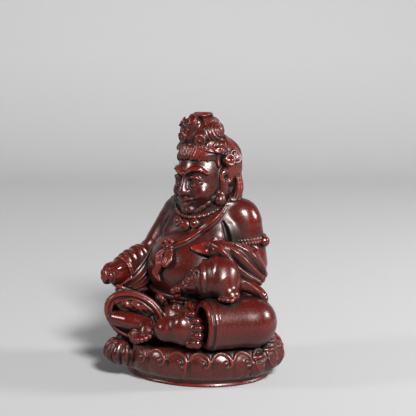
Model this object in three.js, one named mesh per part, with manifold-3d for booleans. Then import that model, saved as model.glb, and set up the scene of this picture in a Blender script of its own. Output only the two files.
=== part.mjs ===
// Seated god of wealth, a small red clay figure on a carved lotus base.
// Millimetres, +Z up. The figure faces -Y, and its own left is +X.
import * as THREE from 'three';
import { mergeVertices } from 'three/addons/utils/BufferGeometryUtils.js';
import Module from 'manifold-3d';

const wasm = await Module();
wasm.setup();

// Driving dimensions: slip joint left between two pieces of clay
const JOINT = 0.3;

// Driving dimensions: lotus base
const BASE_WIDTH = 58.6;
const BASE_DEPTH = 50.4;
const BASE_HEIGHT = 12.5;
const BASE_EDGE_ROUND = 4;
const FOOT_RING_INSET = 4.6;
const FOOT_RING_HEIGHT = 2.4;
const BASE_WALL = 7;
const SEAT_THICKNESS = 4;
const PETALS = 24;
const PETAL_RELIEF = 0.7;
const PETAL_CURL = 2.8;
const BORE_DIAMETER = 7;
const BORE_DEPTH = 22;
const LEAF_WIDTH = 15;
const LEAF_HEIGHT = 11;
const BUD_WIDTH = 12.4;
const BUD_HEIGHT = 9.6;

// Driving dimensions: legs and feet
const LEG_HEIGHT = 16;
const KNEE_HEIGHT = { left: 16, right: 13.6 };
const KNEE_SPREAD = 24.5;
const KNEE_FORWARD = 6.5;
const SHIN_LENGTH = { left: 14, right: 16.4 };
const MOUTH_WIDTH = { left: 13.8, right: 17.8 };
const HEM_THICKNESS = 3;
const FOOT_LENGTH = 12.4;
const FOOT_WIDTH = 11;
const FOOT_THICKNESS = 5.6;
const TOES = 5;
const SHELL_LENGTH = 5.6;

// Driving dimensions: trunk
const HIP_WIDTH = 39;
const HIP_DEPTH = 28;
const BELLY_WIDTH = 36;
const BELLY_DEPTH = 33;
const BELLY_HEIGHT = 28;
const BELLY_RISE = 22.5;
const CHEST_WIDTH = 32;
const CHEST_DEPTH = 22;
const CHEST_HEIGHT = 22;
const CHEST_RISE = 34.5;
const BREAST_WIDTH = 12.4;
const SHOULDER_WIDTH = 34;
const SHOULDER_DEPTH = 16;
const SHOULDER_RISE = 41.5;
const NECK_WIDTH = 12;

// Driving dimensions: arms and hands
const UPPER_ARM_WIDTH = 12;
const UPPER_ARM_LENGTH = 15.6;
const FOREARM_LENGTH = { left: 18.8, right: 16.2 };
const FOREARM_WIDTH = 9;
const HAND_WIDTH = 7.4;
const FINGER_LENGTH = 5.6;
const FINGER_WIDTH = 2.2;
const HELD_JEWEL_SIZE = 6.2;

// Driving dimensions: head and hair
const CHIN_RISE = 40.4;
const HEAD_WIDTH = 18.6;
const HEAD_DEPTH = 20;
const HEAD_HEIGHT = 24.2;
const HEAD_TURN = 12.5;
const HEAD_BOW = 3;
const EAR_HEIGHT = 8.6;
const EARRING_SIZE = 4;
const HAIR_THICKNESS = 1.9;
const HAIR_LOBE_SIZE = 7;
const TOPKNOT_WIDTH = 14;
const KNOB_WIDTH = 6.4;
const CURL_SIZE = 4.4;
const FILLET_WIDTH = 2.6;
const TRESS_WIDTH = 14;
const BEARD_THICKNESS = 3.2;

// Driving dimensions: mongoose, dress and jewellery
const MONGOOSE_WIDTH = 14;
const MONGOOSE_HEIGHT = 14.4;
const TAIL_THICKNESS = 3.6;
const SPILLED_JEWEL_SIZE = 3;
const SASH_WIDTH = 3.2;
const DRAPE_WIDTH = 3.6;
const BELT_THICKNESS = 2.4;
const ROSETTE_SIZE = 4.8;
const TASSEL_LENGTH = 5.4;
const BEAD_SIZE = 1.8;
const BEADS = 9;
const PENDANT_SIZE = 3.8;
const ARMLET_THICKNESS = 1.8;

// Finishes of the clay
const CLAY = {
  base: new THREE.MeshStandardMaterial({ color: 0x5c2a24, roughness: 0.5, metalness: 0 }),
  skin: new THREE.MeshStandardMaterial({ color: 0x6b2f28, roughness: 0.42, metalness: 0 }),
  cloth: new THREE.MeshStandardMaterial({ color: 0x66302a, roughness: 0.48, metalness: 0 }),
  ornament: new THREE.MeshStandardMaterial({ color: 0x74352b, roughness: 0.45, metalness: 0 }),
};

const radians = (degrees) => degrees * Math.PI / 180;
const point = (x, y, z) => new THREE.Vector3(x, y, z);
const from = (place, x, y, z) => place.clone().add(point(x, y, z));
const between = (start, end, share) => start.clone().lerp(end, share);
const UP = point(0, 0, 1);
const FRONT = point(0, -1, 0);
const SIDES = { left: 1, right: -1 };

// Grades of roundness, as the number of faces around and along
const ROUND = { wide: 18, high: 11 };
const MEDIUM = { wide: 11, high: 7 };
const SMALL = { wide: 7, high: 5 };
const TINY = { wide: 5, high: 4 };
const STUB = { sides: 5, steps: 1 };

// A closed geometry becomes a solid once its seams are merged
function solid(geometry) {
  const bare = geometry.clone();
  bare.deleteAttribute('normal');
  bare.deleteAttribute('uv');
  const merged = mergeVertices(bare, 1e-5);
  const corners = merged.index.array;
  const faces = [];
  for (let i = 0; i < corners.length; i += 3) {
    const [a, b, c] = corners.slice(i, i + 3);
    if (a !== b && b !== c && c !== a) faces.push(a, b, c);
  }
  return new wasm.Manifold(new wasm.Mesh({
    numProp: 3,
    vertProperties: new Float32Array(merged.attributes.position.array),
    triVerts: new Uint32Array(faces),
  }));
}

const join = (...solids) => solids.reduce((whole, part) => whole.add(part));

function reshape(geometry, change) {
  const places = geometry.attributes.position;
  const place = new THREE.Vector3();
  for (let i = 0; i < places.count; i += 1) {
    place.fromBufferAttribute(places, i);
    change(place);
    places.setXYZ(i, place.x, place.y, place.z);
  }
  return geometry;
}

// An ellipsoid is written as its centre and its three radii
const oval = (centre, x, y, z) => ({ centre, radii: point(x, y, z) });
const sphere = (centre, radius) => oval(centre, radius, radius, radius);

function ball({ centre, radii }, grow, { wide, high } = MEDIUM, frame = null) {
  const geometry = new THREE.SphereGeometry(1, wide, high);
  geometry.rotateX(Math.PI / 2);
  geometry.scale(radii.x + grow, radii.y + grow, radii.z + grow);
  geometry.translate(centre.x, centre.y, centre.z);
  if (frame) geometry.applyMatrix4(frame);
  return solid(geometry);
}

// A place on an ellipsoid: azimuth 0 faces the front, and 90 the figure's left
function onBall({ centre, radii }, azimuth, elevation, out = 0) {
  const a = radians(azimuth);
  const e = radians(elevation);
  const way = point(Math.sin(a) * Math.cos(e), -Math.cos(a) * Math.cos(e), Math.sin(e));
  const normal = way.clone().divide(radii).normalize();
  return way.multiply(radii).add(centre).addScaledVector(normal, out);
}

// A limb swells and tapers along a curve, and its section is flat where flat is under 1
function limb(points, radii, grow, options = {}) {
  const { flat = 1, facing = UP, sides = 7, steps = 4, caps = 2, frame = null } = options;
  const path = new THREE.CatmullRomCurve3(points);
  const swell = new THREE.CatmullRomCurve3(radii.map((r) => point(r, 0, 0)));
  const geometry = reshape(new THREE.CapsuleGeometry(1, 1, caps, sides, steps), (place) => {
    const share = Math.min(Math.max(place.y + 0.5, 0), 1);
    const past = place.y + 0.5 - share;
    const along = path.getTangent(share);
    const out = facing.clone().addScaledVector(along, -facing.dot(along)).normalize();
    const side = along.clone().cross(out);
    const radius = swell.getPoint(share).x;
    const moved = path.getPoint(share);
    moved.addScaledVector(along, past * (radius * Math.min(1, flat * 1.5) + grow));
    moved.addScaledVector(side, place.x * (radius + grow));
    moved.addScaledVector(out, place.z * (radius * flat + grow));
    place.copy(moved);
  });
  if (frame) geometry.applyMatrix4(frame);
  return solid(geometry);
}

// A ring round an axis
function ring(centre, axis, radius, thickness, grow, options = {}) {
  const { sides = 5, steps = 14, frame = null } = options;
  const geometry = reshape(new THREE.TorusGeometry(radius, 1, sides, steps), (place) => {
    const around = Math.atan2(place.y, place.x);
    const spine = point(Math.cos(around), Math.sin(around), 0).multiplyScalar(radius);
    const away = place.clone().sub(spine);
    place.copy(spine).addScaledVector(away, thickness + grow);
  });
  geometry.applyQuaternion(new THREE.Quaternion().setFromUnitVectors(UP, axis.clone().normalize()));
  geometry.translate(centre.x, centre.y, centre.z);
  if (frame) geometry.applyMatrix4(frame);
  return solid(geometry);
}

// Everything on the far side of a plane, to cut a piece flat
function beyond(origin, normal, size = 4 * BASE_WIDTH) {
  const geometry = new THREE.BoxGeometry(size, size, size);
  geometry.translate(0, 0, size / 2);
  geometry.applyQuaternion(new THREE.Quaternion().setFromUnitVectors(UP, normal.clone().normalize()));
  geometry.translate(origin.x, origin.y, origin.z);
  return solid(geometry);
}

// Each piece is cut by the pieces laid before it, which leaves the slip joint between them
const figure = new THREE.Group();
figure.name = 'god_of_wealth';
const laid = [];

function boxOf(body) {
  const { min, max } = body.boundingBox();
  return new THREE.Box3(point(...min), point(...max));
}

function meshOf(body, centre) {
  const { numProp, vertProperties, triVerts } = body.getMesh();
  const geometry = new THREE.BufferGeometry();
  const places = [];
  for (let i = 0; i < vertProperties.length; i += numProp) places.push(...vertProperties.slice(i, i + 3));
  geometry.setAttribute('position', new THREE.Float32BufferAttribute(places, 3));
  geometry.setIndex([...triVerts]);
  geometry.translate(-centre.x, -centre.y, -centre.z);
  geometry.computeVertexNormals();
  return geometry;
}

function lay(group, name, material, make) {
  let body = make(0);
  for (const other of laid) {
    if (other.box.intersectsBox(boxOf(body))) body = body.subtract(other.body);
  }
  const [largest] = body.decompose().sort((a, b) => b.volume() - a.volume());
  const grown = make(JOINT);
  laid.push({ body: grown, box: boxOf(grown) });
  const centre = boxOf(largest).getCenter(point(0, 0, 0));
  const piece = new THREE.Mesh(meshOf(largest, centre), material);
  piece.name = name;
  piece.position.copy(centre);
  group.add(piece);
}

function newGroup() {
  const group = new THREE.Group();
  figure.add(group);
  return group;
}

// Lotus base: petals round a hollow drum, with a seat on top and a foot ring below
const SEAT = BASE_HEIGHT;
const BASE_ASPECT = BASE_DEPTH / BASE_WIDTH;
const FOOT_RING_RADIUS = BASE_WIDTH / 2 - FOOT_RING_INSET;
const baseGroup = newGroup();

function baseRadius(height) {
  const middle = (BASE_HEIGHT + FOOT_RING_HEIGHT) / 2;
  const reach = (height - middle) / (BASE_HEIGHT - middle);
  return BASE_WIDTH / 2 - BASE_EDGE_ROUND * (1 - Math.sqrt(Math.max(0, 1 - reach * reach)));
}

function basePlace(azimuth, height, out = 0) {
  const radius = baseRadius(height) + out;
  const a = radians(azimuth);
  return point(Math.sin(a) * radius, -Math.cos(a) * radius * BASE_ASPECT, height);
}

function drum(grow) {
  const rows = 4;
  const footRadius = FOOT_RING_RADIUS + grow;
  const profile = [[0, -grow], [footRadius, -grow], [footRadius, FOOT_RING_HEIGHT]];
  for (let row = 1; row < rows; row += 1) {
    const height = FOOT_RING_HEIGHT + (BASE_HEIGHT - FOOT_RING_HEIGHT) * (row / rows);
    profile.push([baseRadius(height) + grow, height]);
  }
  profile.push([baseRadius(BASE_HEIGHT) + grow, BASE_HEIGHT + grow], [0, BASE_HEIGHT + grow]);
  const geometry = new THREE.LatheGeometry(profile.map(([r, z]) => new THREE.Vector2(r, z)), PETALS * 2);
  geometry.rotateX(Math.PI / 2);
  return solid(reshape(geometry, (place) => {
    const share = (place.z - FOOT_RING_HEIGHT) / (BASE_HEIGHT - FOOT_RING_HEIGHT);
    const depth = Math.sin(Math.PI * Math.min(Math.max(share, 0), 1));
    const lobe = Math.abs(Math.cos(Math.atan2(place.x, -place.y) * PETALS / 2)) - 1;
    const radius = Math.max(Math.hypot(place.x, place.y), 1);
    const scale = 1 + PETAL_RELIEF * depth * lobe / radius;
    place.x *= scale;
    place.y *= scale * BASE_ASPECT;
  }));
}

function lotusBase(grow) {
  let body = drum(grow);
  for (let petal = 0; petal < PETALS; petal += 1) {
    const curl = sphere(basePlace(360 * petal / PETALS, BASE_HEIGHT * 0.66, -0.2), PETAL_CURL / 2);
    body = body.add(ball(curl, grow, { wide: 4, high: 3 }));
  }
  if (grow > 0) return body;
  const ceiling = BASE_HEIGHT - SEAT_THICKNESS;
  const hollowRadius = FOOT_RING_RADIUS - BASE_WALL;
  const hollow = [[0, -1], [hollowRadius + BASE_WALL / 2, -1], [hollowRadius, ceiling], [0, ceiling]];
  const inside = new THREE.LatheGeometry(hollow.map(([r, z]) => new THREE.Vector2(r, z)), 24);
  inside.rotateX(Math.PI / 2);
  inside.scale(1, BASE_ASPECT, 1);
  const vent = new THREE.CylinderGeometry(BORE_DIAMETER / 2, BORE_DIAMETER / 2, BASE_HEIGHT * 3, 10);
  vent.rotateX(Math.PI / 2);
  return body.subtract(solid(inside)).subtract(solid(vent));
}
lay(baseGroup, 'lotus_base', CLAY.base, lotusBase);

// A curled lotus leaf rises at the figure's left end of the base
const LEAF_AZIMUTH = 85;
function leaf(grow) {
  const lobe = (turn, height, size) => {
    const centre = basePlace(LEAF_AZIMUTH + turn, BASE_HEIGHT / 2, -LEAF_WIDTH * 0.085).setZ(height);
    return ball(oval(centre, LEAF_HEIGHT * 0.28 * size, LEAF_WIDTH * 0.28 * size, LEAF_HEIGHT * 0.42 * size),
      grow, SMALL);
  };
  const middle = LEAF_HEIGHT * 0.75;
  return join(lobe(-13, middle * 0.86, 0.9), lobe(0, middle, 1.05), lobe(13, middle, 0.95),
    lobe(4, middle * 1.42, 0.66));
}
lay(baseGroup, 'lotus_leaf', CLAY.base, leaf);

// A rolled bud stands out at the front, under the lowered foot
const BUD = oval(basePlace(-36, BASE_HEIGHT * 0.66, -BUD_WIDTH * 0.15), BUD_WIDTH * 0.52, BUD_WIDTH * 0.46,
  BUD_HEIGHT / 2);
function bud(grow) {
  const half = BUD_WIDTH / 2;
  return join(
    ball(BUD, grow, { wide: 10, high: 6 }),
    ball(sphere(from(BUD.centre, -half * 0.62, half * 0.1, -0.3), half * 0.62), grow, SMALL),
    ball(sphere(from(BUD.centre, half * 0.5, -half * 0.42, 0.5), half * 0.5), grow, SMALL),
  );
}
lay(baseGroup, 'lotus_bud', CLAY.base, bud);

// Legs: folded trousers, flat where they rest on the seat
const LEG_RADIUS = LEG_HEIGHT / 2;
const LEG_AXIS = SEAT + LEG_RADIUS;
const SHIN_WAY = { left: point(-0.62, -0.78, 0), right: point(0.64, -0.77, 0) };
const MOUTH_WAY = { left: SHIN_WAY.left, right: point(0.36, -0.93, 0) };
const MOUTH_SAG = { left: 0, right: 0.2 };
const KNEE = {};
const CUFF = {};
for (const [side, sign] of Object.entries(SIDES)) {
  KNEE[side] = point(sign * KNEE_SPREAD, -KNEE_FORWARD, SEAT + KNEE_HEIGHT[side] / 2);
  CUFF[side] = KNEE[side].clone().addScaledVector(SHIN_WAY[side], SHIN_LENGTH[side]).setZ(LEG_AXIS);
}
const legGroup = newGroup();
const underSeat = () => beyond(point(0, 0, SEAT + JOINT), point(0, 0, -1));

// A place round a trouser's mouth: angle 0 is its inner end, and 90 its top
const HEM_RADIUS = LEG_RADIUS - HEM_THICKNESS * 0.36;
function mouthPlace(side, angle, share = 1, out = 0) {
  const level = UP.clone().cross(MOUTH_WAY[side]).normalize();
  const half = MOUTH_WIDTH[side] / 2;
  const reach = half * Math.cos(radians(angle)) * share;
  const centre = CUFF[side].clone().addScaledVector(level, (half - HEM_RADIUS) * 0.7);
  return centre.addScaledVector(level, reach).addScaledVector(MOUTH_WAY[side], out)
    .add(point(0, 0, HEM_RADIUS * Math.sin(radians(angle)) * share - reach * MOUTH_SAG[side]));
}

function leg(side, grow) {
  const hip = point(SIDES[side] * HIP_WIDTH * 0.28, HIP_DEPTH * 0.2, KNEE[side].z);
  const smooth = { sides: 12, steps: 1, caps: 2 };
  const girth = KNEE[side].z - SEAT;
  const past = (place) => place.clone().addScaledVector(SHIN_WAY[side], LEG_RADIUS);
  let whole = join(
    limb([hip, KNEE[side]], [girth * 1.04, girth * 1.02], grow, smooth),
    limb([KNEE[side], past(CUFF[side])], [girth * 1.02, LEG_RADIUS], grow, smooth),
  );
  if (side === 'right') {
    const inner = mouthPlace(side, 0, 0.28);
    whole = whole.add(limb([KNEE[side], past(inner)], [girth, LEG_RADIUS * 0.8], grow, smooth));
  }
  return whole.subtract(beyond(CUFF[side].clone().addScaledVector(MOUTH_WAY[side], grow), MOUTH_WAY[side]))
    .subtract(underSeat());
}

// Each trouser end is a double hem, open round the foot
function hem(side, grow) {
  const tube = 0.25;
  const rim = (share, out, thickness) => solid(reshape(new THREE.TorusGeometry(1, tube, 5, 18), (place) => {
    const angle = Math.atan2(place.y, place.x) * 180 / Math.PI;
    const outward = mouthPlace(side, angle, 2).sub(mouthPlace(side, angle)).normalize();
    const reach = (Math.hypot(place.x, place.y) - 1) / tube * (thickness + grow);
    const rise = place.z / tube * (thickness + grow);
    place.copy(mouthPlace(side, angle, share, HEM_THICKNESS * out + rise)).addScaledVector(outward, reach);
  }));
  return join(rim(1, 0.3, HEM_THICKNESS / 2), rim(0.94, 0.8, HEM_THICKNESS * 0.36)).subtract(underSeat());
}
for (const side of ['left', 'right']) {
  lay(legGroup, `leg_${side}`, CLAY.cloth, (grow) => leg(side, grow));
}
for (const side of ['left', 'right']) {
  lay(legGroup, `trouser_hem_${side}`, CLAY.cloth, (grow) => hem(side, grow));
}

// A foot has a heel, a ball and a row of toes, the big toe first
function foot(heel, along, sole, length, grow) {
  const scale = length / FOOT_LENGTH;
  const half = FOOT_WIDTH / 2 * scale;
  const toes = heel.clone().addScaledVector(along, length * 0.52);
  const across = along.clone().cross(sole).normalize();
  const parts = [
    limb([heel, between(heel, toes, 0.45), toes], [half * 0.7, half * 0.78, half * 0.92], grow,
      { flat: FOOT_THICKNESS / FOOT_WIDTH, facing: sole, sides: 10 }),
  ];
  for (let toe = 0; toe < TOES; toe += 1) {
    const share = toe / (TOES - 1) - 0.5;
    const radius = half * (toe === 0 ? 0.3 : 0.23);
    const root = toes.clone().addScaledVector(across, -share * half * 1.6);
    root.addScaledVector(along, half * (0.5 - share * share)).addScaledVector(sole, half * 0.12);
    const tip = root.clone().addScaledVector(along, half * 0.6);
    parts.push(limb([root, tip], [radius, radius * 0.9], grow, STUB));
  }
  return join(...parts);
}

const footGroup = newGroup();
const LEFT_SOLE = point(0.3, -0.94, 0.1).normalize();
const LEFT_WAY = point(0.94, 0.3, 0.1).normalize();
const LEFT_HEEL = from(CUFF.left, -FOOT_LENGTH * 1.02, -FOOT_LENGTH * 0.53, -LEG_RADIUS * 0.19);
lay(footGroup, 'foot_left', CLAY.skin, (grow) => (
  foot(LEFT_HEEL, LEFT_WAY, LEFT_SOLE, FOOT_LENGTH, grow).subtract(underSeat())));

// The right shin leaves its hem, and the foot turns down towards the edge of the seat
const SHIN_START = mouthPlace('right', 205, 0.76, LEG_RADIUS * 0.1);
const ANKLE = mouthPlace('right', -22, 0.56, LEG_RADIUS * 0.42);
const SHIN_RADIUS = LEG_RADIUS * 0.4;
const RIGHT_WAY = point(0.52, -0.7, -0.48).normalize();
lay(footGroup, 'foot_right', CLAY.skin, (grow) => join(
  limb([SHIN_START, ANKLE], [SHIN_RADIUS, SHIN_RADIUS * 0.88], grow, { sides: 10, steps: 2 }),
  foot(ANKLE, RIGHT_WAY, UP, FOOT_LENGTH * 0.62, grow),
).subtract(underSeat()));

// A conch shell lies beside the toes
const SHELL = oval(from(ANKLE, -SHELL_LENGTH * 0.39, -SHELL_LENGTH * 0.57, -SHELL_LENGTH * 0.54),
  SHELL_LENGTH * 0.5, SHELL_LENGTH * 0.32, SHELL_LENGTH * 0.38);
lay(footGroup, 'conch_shell', CLAY.ornament, (grow) => join(
  ball(SHELL, grow, SMALL),
  ring(SHELL.centre, point(-0.2, -1, 0.3), SHELL_LENGTH * 0.38, SHELL_LENGTH * 0.11, grow,
    { steps: 9, sides: 4 }),
).subtract(underSeat()));

// The lining of the wide right trouser shows in soft waves above the shin
lay(legGroup, 'trouser_lining_right', CLAY.cloth, (grow) => {
  const wave = (rise, reach) => limb([180 - rise, 90, rise].map((angle) => mouthPlace('right', angle, reach)),
    [0.8, 1.06, 0.8].map((share) => HEM_THICKNESS * 0.5 * share), grow, { sides: 5 });
  return join(wave(36, 0.76), wave(28, 0.52), wave(10, 0.3));
});

// Trunk: hips, belly, chest and shoulders in one piece, bored from below for firing
const TRUNK_BACK = HIP_DEPTH * 0.215;
const HIPS = oval(point(0, TRUNK_BACK * 0.67, SEAT + LEG_RADIUS), HIP_WIDTH / 2, HIP_DEPTH / 2,
  LEG_RADIUS * 1.3);
const BELLY = oval(point(0, TRUNK_BACK * 0.17, SEAT + BELLY_RISE), BELLY_WIDTH / 2, BELLY_DEPTH / 2,
  BELLY_HEIGHT / 2);
const CHEST = oval(point(0, TRUNK_BACK * 0.83, SEAT + CHEST_RISE), CHEST_WIDTH / 2, CHEST_DEPTH / 2,
  CHEST_HEIGHT / 2);
const SHOULDERS = oval(point(0, TRUNK_BACK * 1.17, SEAT + SHOULDER_RISE), SHOULDER_WIDTH / 2,
  SHOULDER_DEPTH / 2, SHOULDER_DEPTH * 0.35);
const HEAD = point(0, TRUNK_BACK * 0.8, SEAT + CHIN_RISE + HEAD_HEIGHT / 2);
const BREAST_DEPTH = BREAST_WIDTH * 0.35;
const breast = (sign) => oval(onBall(CHEST, sign * 30, -8, BREAST_WIDTH * 0.08 - BREAST_DEPTH),
  BREAST_WIDTH / 2, BREAST_DEPTH, BREAST_WIDTH * 0.36);
const bodyGroup = newGroup();

// The outermost place on the chest and belly, at an azimuth and a height
function onTrunk(azimuth, height, out) {
  const start = point(0, CHEST.centre.y, height);
  const way = point(Math.sin(radians(azimuth)), -Math.cos(radians(azimuth)), 0);
  const reaches = [CHEST, BELLY].map(({ centre, radii }) => {
    const offset = start.clone().sub(centre).divide(radii);
    const slope = way.clone().divide(radii);
    const half = offset.dot(slope);
    const square = half * half - slope.lengthSq() * (offset.lengthSq() - 1);
    return square > 0 ? (Math.sqrt(square) - half) / slope.lengthSq() : 0;
  });
  return start.addScaledVector(way, Math.max(...reaches) + out);
}

lay(bodyGroup, 'trunk', CLAY.skin, (grow) => {
  const neck = limb([SHOULDERS.centre, HEAD], [NECK_WIDTH / 2, NECK_WIDTH / 2], grow,
    { sides: 10, steps: 1, facing: FRONT });
  const whole = join(ball(HIPS, grow, { wide: 14, high: 7 }), ball(BELLY, grow, ROUND),
    ball(CHEST, grow, { wide: 16, high: 10 }), ball(SHOULDERS, grow, { wide: 14, high: 8 }),
    ball(breast(1), grow), ball(breast(-1), grow), neck);
  if (grow > 0) return whole;
  const bore = new THREE.CylinderGeometry(BORE_DIAMETER / 2, BORE_DIAMETER / 2, BORE_DEPTH, 10);
  bore.rotateX(Math.PI / 2);
  bore.translate(0, 0, SEAT + BORE_DEPTH / 2);
  return whole.subtract(underSeat()).subtract(solid(bore));
});

// Head: a calm, broad face with full cheeks, in a frame of its own that turns and bows
const headFrame = new THREE.Matrix4().makeTranslation(HEAD)
  .multiply(new THREE.Matrix4().makeRotationZ(radians(-HEAD_TURN)))
  .multiply(new THREE.Matrix4().makeRotationX(radians(HEAD_BOW)));
const inHead = (x, y, z) => point(x, y, z).applyMatrix4(headFrame);
const headGroup = newGroup();
const SKULL = oval(point(0, 0, 0), HEAD_WIDTH / 2, HEAD_DEPTH / 2, HEAD_HEIGHT / 2);
const JAW = oval(point(0, -HEAD_DEPTH * 0.16, -HEAD_HEIGHT * 0.22), HEAD_WIDTH * 0.42, HEAD_DEPTH * 0.34,
  HEAD_HEIGHT * 0.28);

lay(headGroup, 'head', CLAY.skin, (grow) => {
  const thin = { sides: 5, steps: 2, caps: 1, frame: headFrame };
  const feature = (azimuth, elevation, out, x, y, z) => ball(
    oval(onBall(SKULL, azimuth, elevation, out), x, y, z), grow, SMALL, headFrame);
  const parts = [
    ball(SKULL, grow, { wide: 14, high: 10 }, headFrame),
    ball(JAW, grow, MEDIUM, headFrame),
    limb([onBall(SKULL, 0, 11, -0.3), onBall(SKULL, 0, -9, 0.8)], [0.9, 1.6], grow, thin),
    feature(0, -50, 0.2, 3, 2.4, 2.2),
    limb([-14, 0, 14].map((turn) => onBall(SKULL, turn, -24, turn ? -0.3 : 0.4)), [0.5, 0.9, 0.5], grow,
      thin),
    limb([-12, 0, 12].map((turn) => onBall(SKULL, turn, -32, turn ? -0.3 : 0.4)), [0.5, 1, 0.5], grow, thin),
  ];
  for (const sign of Object.values(SIDES)) {
    parts.push(feature(sign * 24, 4, -0.9, 2.1, 1.5, 1.2));
    parts.push(feature(sign * 36, -17, -1.8, 3.4, 3, 3));
    parts.push(limb([onBall(SKULL, sign * 9, 15, 0), onBall(SKULL, sign * 24, 22, 0.2),
      onBall(SKULL, sign * 40, 15, 0)], [0.6, 0.8, 0.5], grow, thin));
  }
  return join(...parts);
});

// Ears with long lobes, each with a large drop earring
for (const [side, sign] of Object.entries(SIDES)) {
  const middle = onBall(SKULL, sign * 84, 0, 0.4);
  const half = EAR_HEIGHT / 2;
  const lobe = from(middle, 0, -0.6, -half * 1.1);
  lay(headGroup, `ear_${side}`, CLAY.skin, (grow) => join(
    limb([from(middle, 0, 0.6, half * 0.5), middle, lobe], [half * 0.5, half * 0.44, half * 0.32], grow,
      { flat: 0.7, facing: point(sign, 0, 0), frame: headFrame }),
    ring(from(middle, sign * 0.8, 0, 0.8), point(sign, -0.3, 0), half * 0.4, half * 0.16, grow,
      { sides: 4, steps: 9, frame: headFrame }),
  ));
  const drop = oval(from(lobe, -sign * 0.2, -1.4, -EARRING_SIZE * 0.5), EARRING_SIZE * 0.46, EARRING_SIZE / 2,
    EARRING_SIZE * 0.55);
  lay(headGroup, `earring_${side}`, CLAY.ornament, (grow) => ball(drop, grow, SMALL, headFrame));
}

// Hair: a cap over the skull, open over the face
const HAIR = oval(point(0, HAIR_THICKNESS * 0.7, HEAD_HEIGHT * 0.15), SKULL.radii.x + HAIR_THICKNESS,
  SKULL.radii.y + HAIR_THICKNESS * 0.5, SKULL.radii.z - HAIR_THICKNESS * 0.4);
const HAIRLINE = HEAD_HEIGHT * 0.34;
lay(headGroup, 'hair_cap', CLAY.cloth, (grow) => {
  const face = new THREE.BoxGeometry(HEAD_WIDTH * 3, HEAD_DEPTH, HEAD_HEIGHT * 2);
  face.translate(0, -HEAD_DEPTH / 2 - HAIR_THICKNESS * 0.4 - grow, HAIRLINE - HEAD_HEIGHT - grow);
  face.applyMatrix4(headFrame);
  const half = HAIR_LOBE_SIZE / 2;
  const parts = [ball(HAIR, grow, { wide: 14, high: 9 }, headFrame)];
  for (const sign of Object.values(SIDES)) {
    for (const [azimuth, elevation] of [[82, 42], [104, 16]]) {
      const lobe = sphere(onBall(HAIR, sign * azimuth, elevation, -half * 0.55), half);
      parts.push(ball(lobe, grow, SMALL, headFrame));
    }
    parts.push(limb([62, 24, -24].map((rise) => onBall(HAIR, sign * 140, rise, -half * 0.4)),
      [half * 0.6, half * 0.74, half * 0.6], grow, { frame: headFrame, sides: 6 }));
  }
  parts.push(limb([58, 20, -10].map((rise) => onBall(HAIR, 180, rise, -half * 0.4)),
    [half * 0.6, half * 0.74, half * 0.6], grow, { frame: headFrame, sides: 6, facing: UP }));
  return join(...parts).subtract(solid(face));
});

// Topknot: rolled lobes of hair with a small disc on top
const TOPKNOT = oval(from(HAIR.centre, 0, -TOPKNOT_WIDTH * 0.12, HAIR.radii.z), TOPKNOT_WIDTH / 2,
  TOPKNOT_WIDTH * 0.48, TOPKNOT_WIDTH * 0.42);
lay(headGroup, 'topknot', CLAY.cloth, (grow) => {
  const lobes = [[78, 0, 0.27], [-78, 0, 0.27], [-12, -4, 0.25], [180, 0, 0.27]];
  return join(ball(TOPKNOT, grow, MEDIUM, headFrame), ...lobes.map(([azimuth, elevation, size]) => ball(
    sphere(onBall(TOPKNOT, azimuth, elevation, -TOPKNOT_WIDTH * 0.16), TOPKNOT_WIDTH * size), grow, SMALL,
    headFrame,
  )));
});
const KNOB = oval(onBall(TOPKNOT, 20, 84), KNOB_WIDTH / 2, KNOB_WIDTH * 0.44, KNOB_WIDTH * 0.18);
lay(headGroup, 'topknot_knob', CLAY.ornament, (grow) => join(
  ball(KNOB, grow, { wide: 9, high: 5 }, headFrame),
  ball(sphere(from(KNOB.centre, -KNOB_WIDTH * 0.48, -KNOB_WIDTH * 0.16, -1), KNOB_WIDTH * 0.26), grow, SMALL,
    headFrame),
));

// Ring curls stand in a row at each side, from the topknot to the ear
const CURL_ROW = [[30, 52], [66, 36], [84, 14]];
for (const [side, sign] of Object.entries(SIDES)) {
  CURL_ROW.forEach(([azimuth, elevation], index) => {
    const centre = onBall(HAIR, sign * azimuth, elevation, 0.2);
    const axis = onBall(HAIR, sign * azimuth, elevation, 1).sub(onBall(HAIR, sign * azimuth, elevation));
    const radius = CURL_SIZE / 2;
    lay(headGroup, `hair_curl_${side}_${index + 1}`, CLAY.cloth, (grow) => join(
      ring(centre, axis, radius * 0.68, radius * 0.34, grow, { sides: 4, steps: 9, frame: headFrame }),
      ball(sphere(centre, radius * 0.5), grow, TINY, headFrame),
    ));
  });
}

// A fillet crosses the brow under the curls
lay(headGroup, 'brow_fillet', CLAY.ornament, (grow) => {
  const route = [-60, -30, 0, 30, 60].map((azimuth) => (
    onBall(HAIR, azimuth, 46 - Math.abs(azimuth) * 0.22, FILLET_WIDTH * 0.1)));
  return limb(route, route.map(() => FILLET_WIDTH / 2), grow,
    { flat: 0.7, sides: 6, steps: 7, frame: headFrame });
});

// A thick tress falls from the nape to the shoulders
lay(headGroup, 'hair_tress', CLAY.cloth, (grow) => {
  const nape = HAIR.centre.y + HAIR.radii.y - TRESS_WIDTH * 0.25;
  return limb([inHead(0, nape, HAIR.centre.z - 2), inHead(0, nape, -HEAD_HEIGHT * 0.3),
    onBall(SHOULDERS, 180, 42)], [TRESS_WIDTH * 0.48, TRESS_WIDTH / 2, TRESS_WIDTH * 0.42], grow,
  { flat: 0.5, facing: FRONT, sides: 8, steps: 3 });
});

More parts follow.
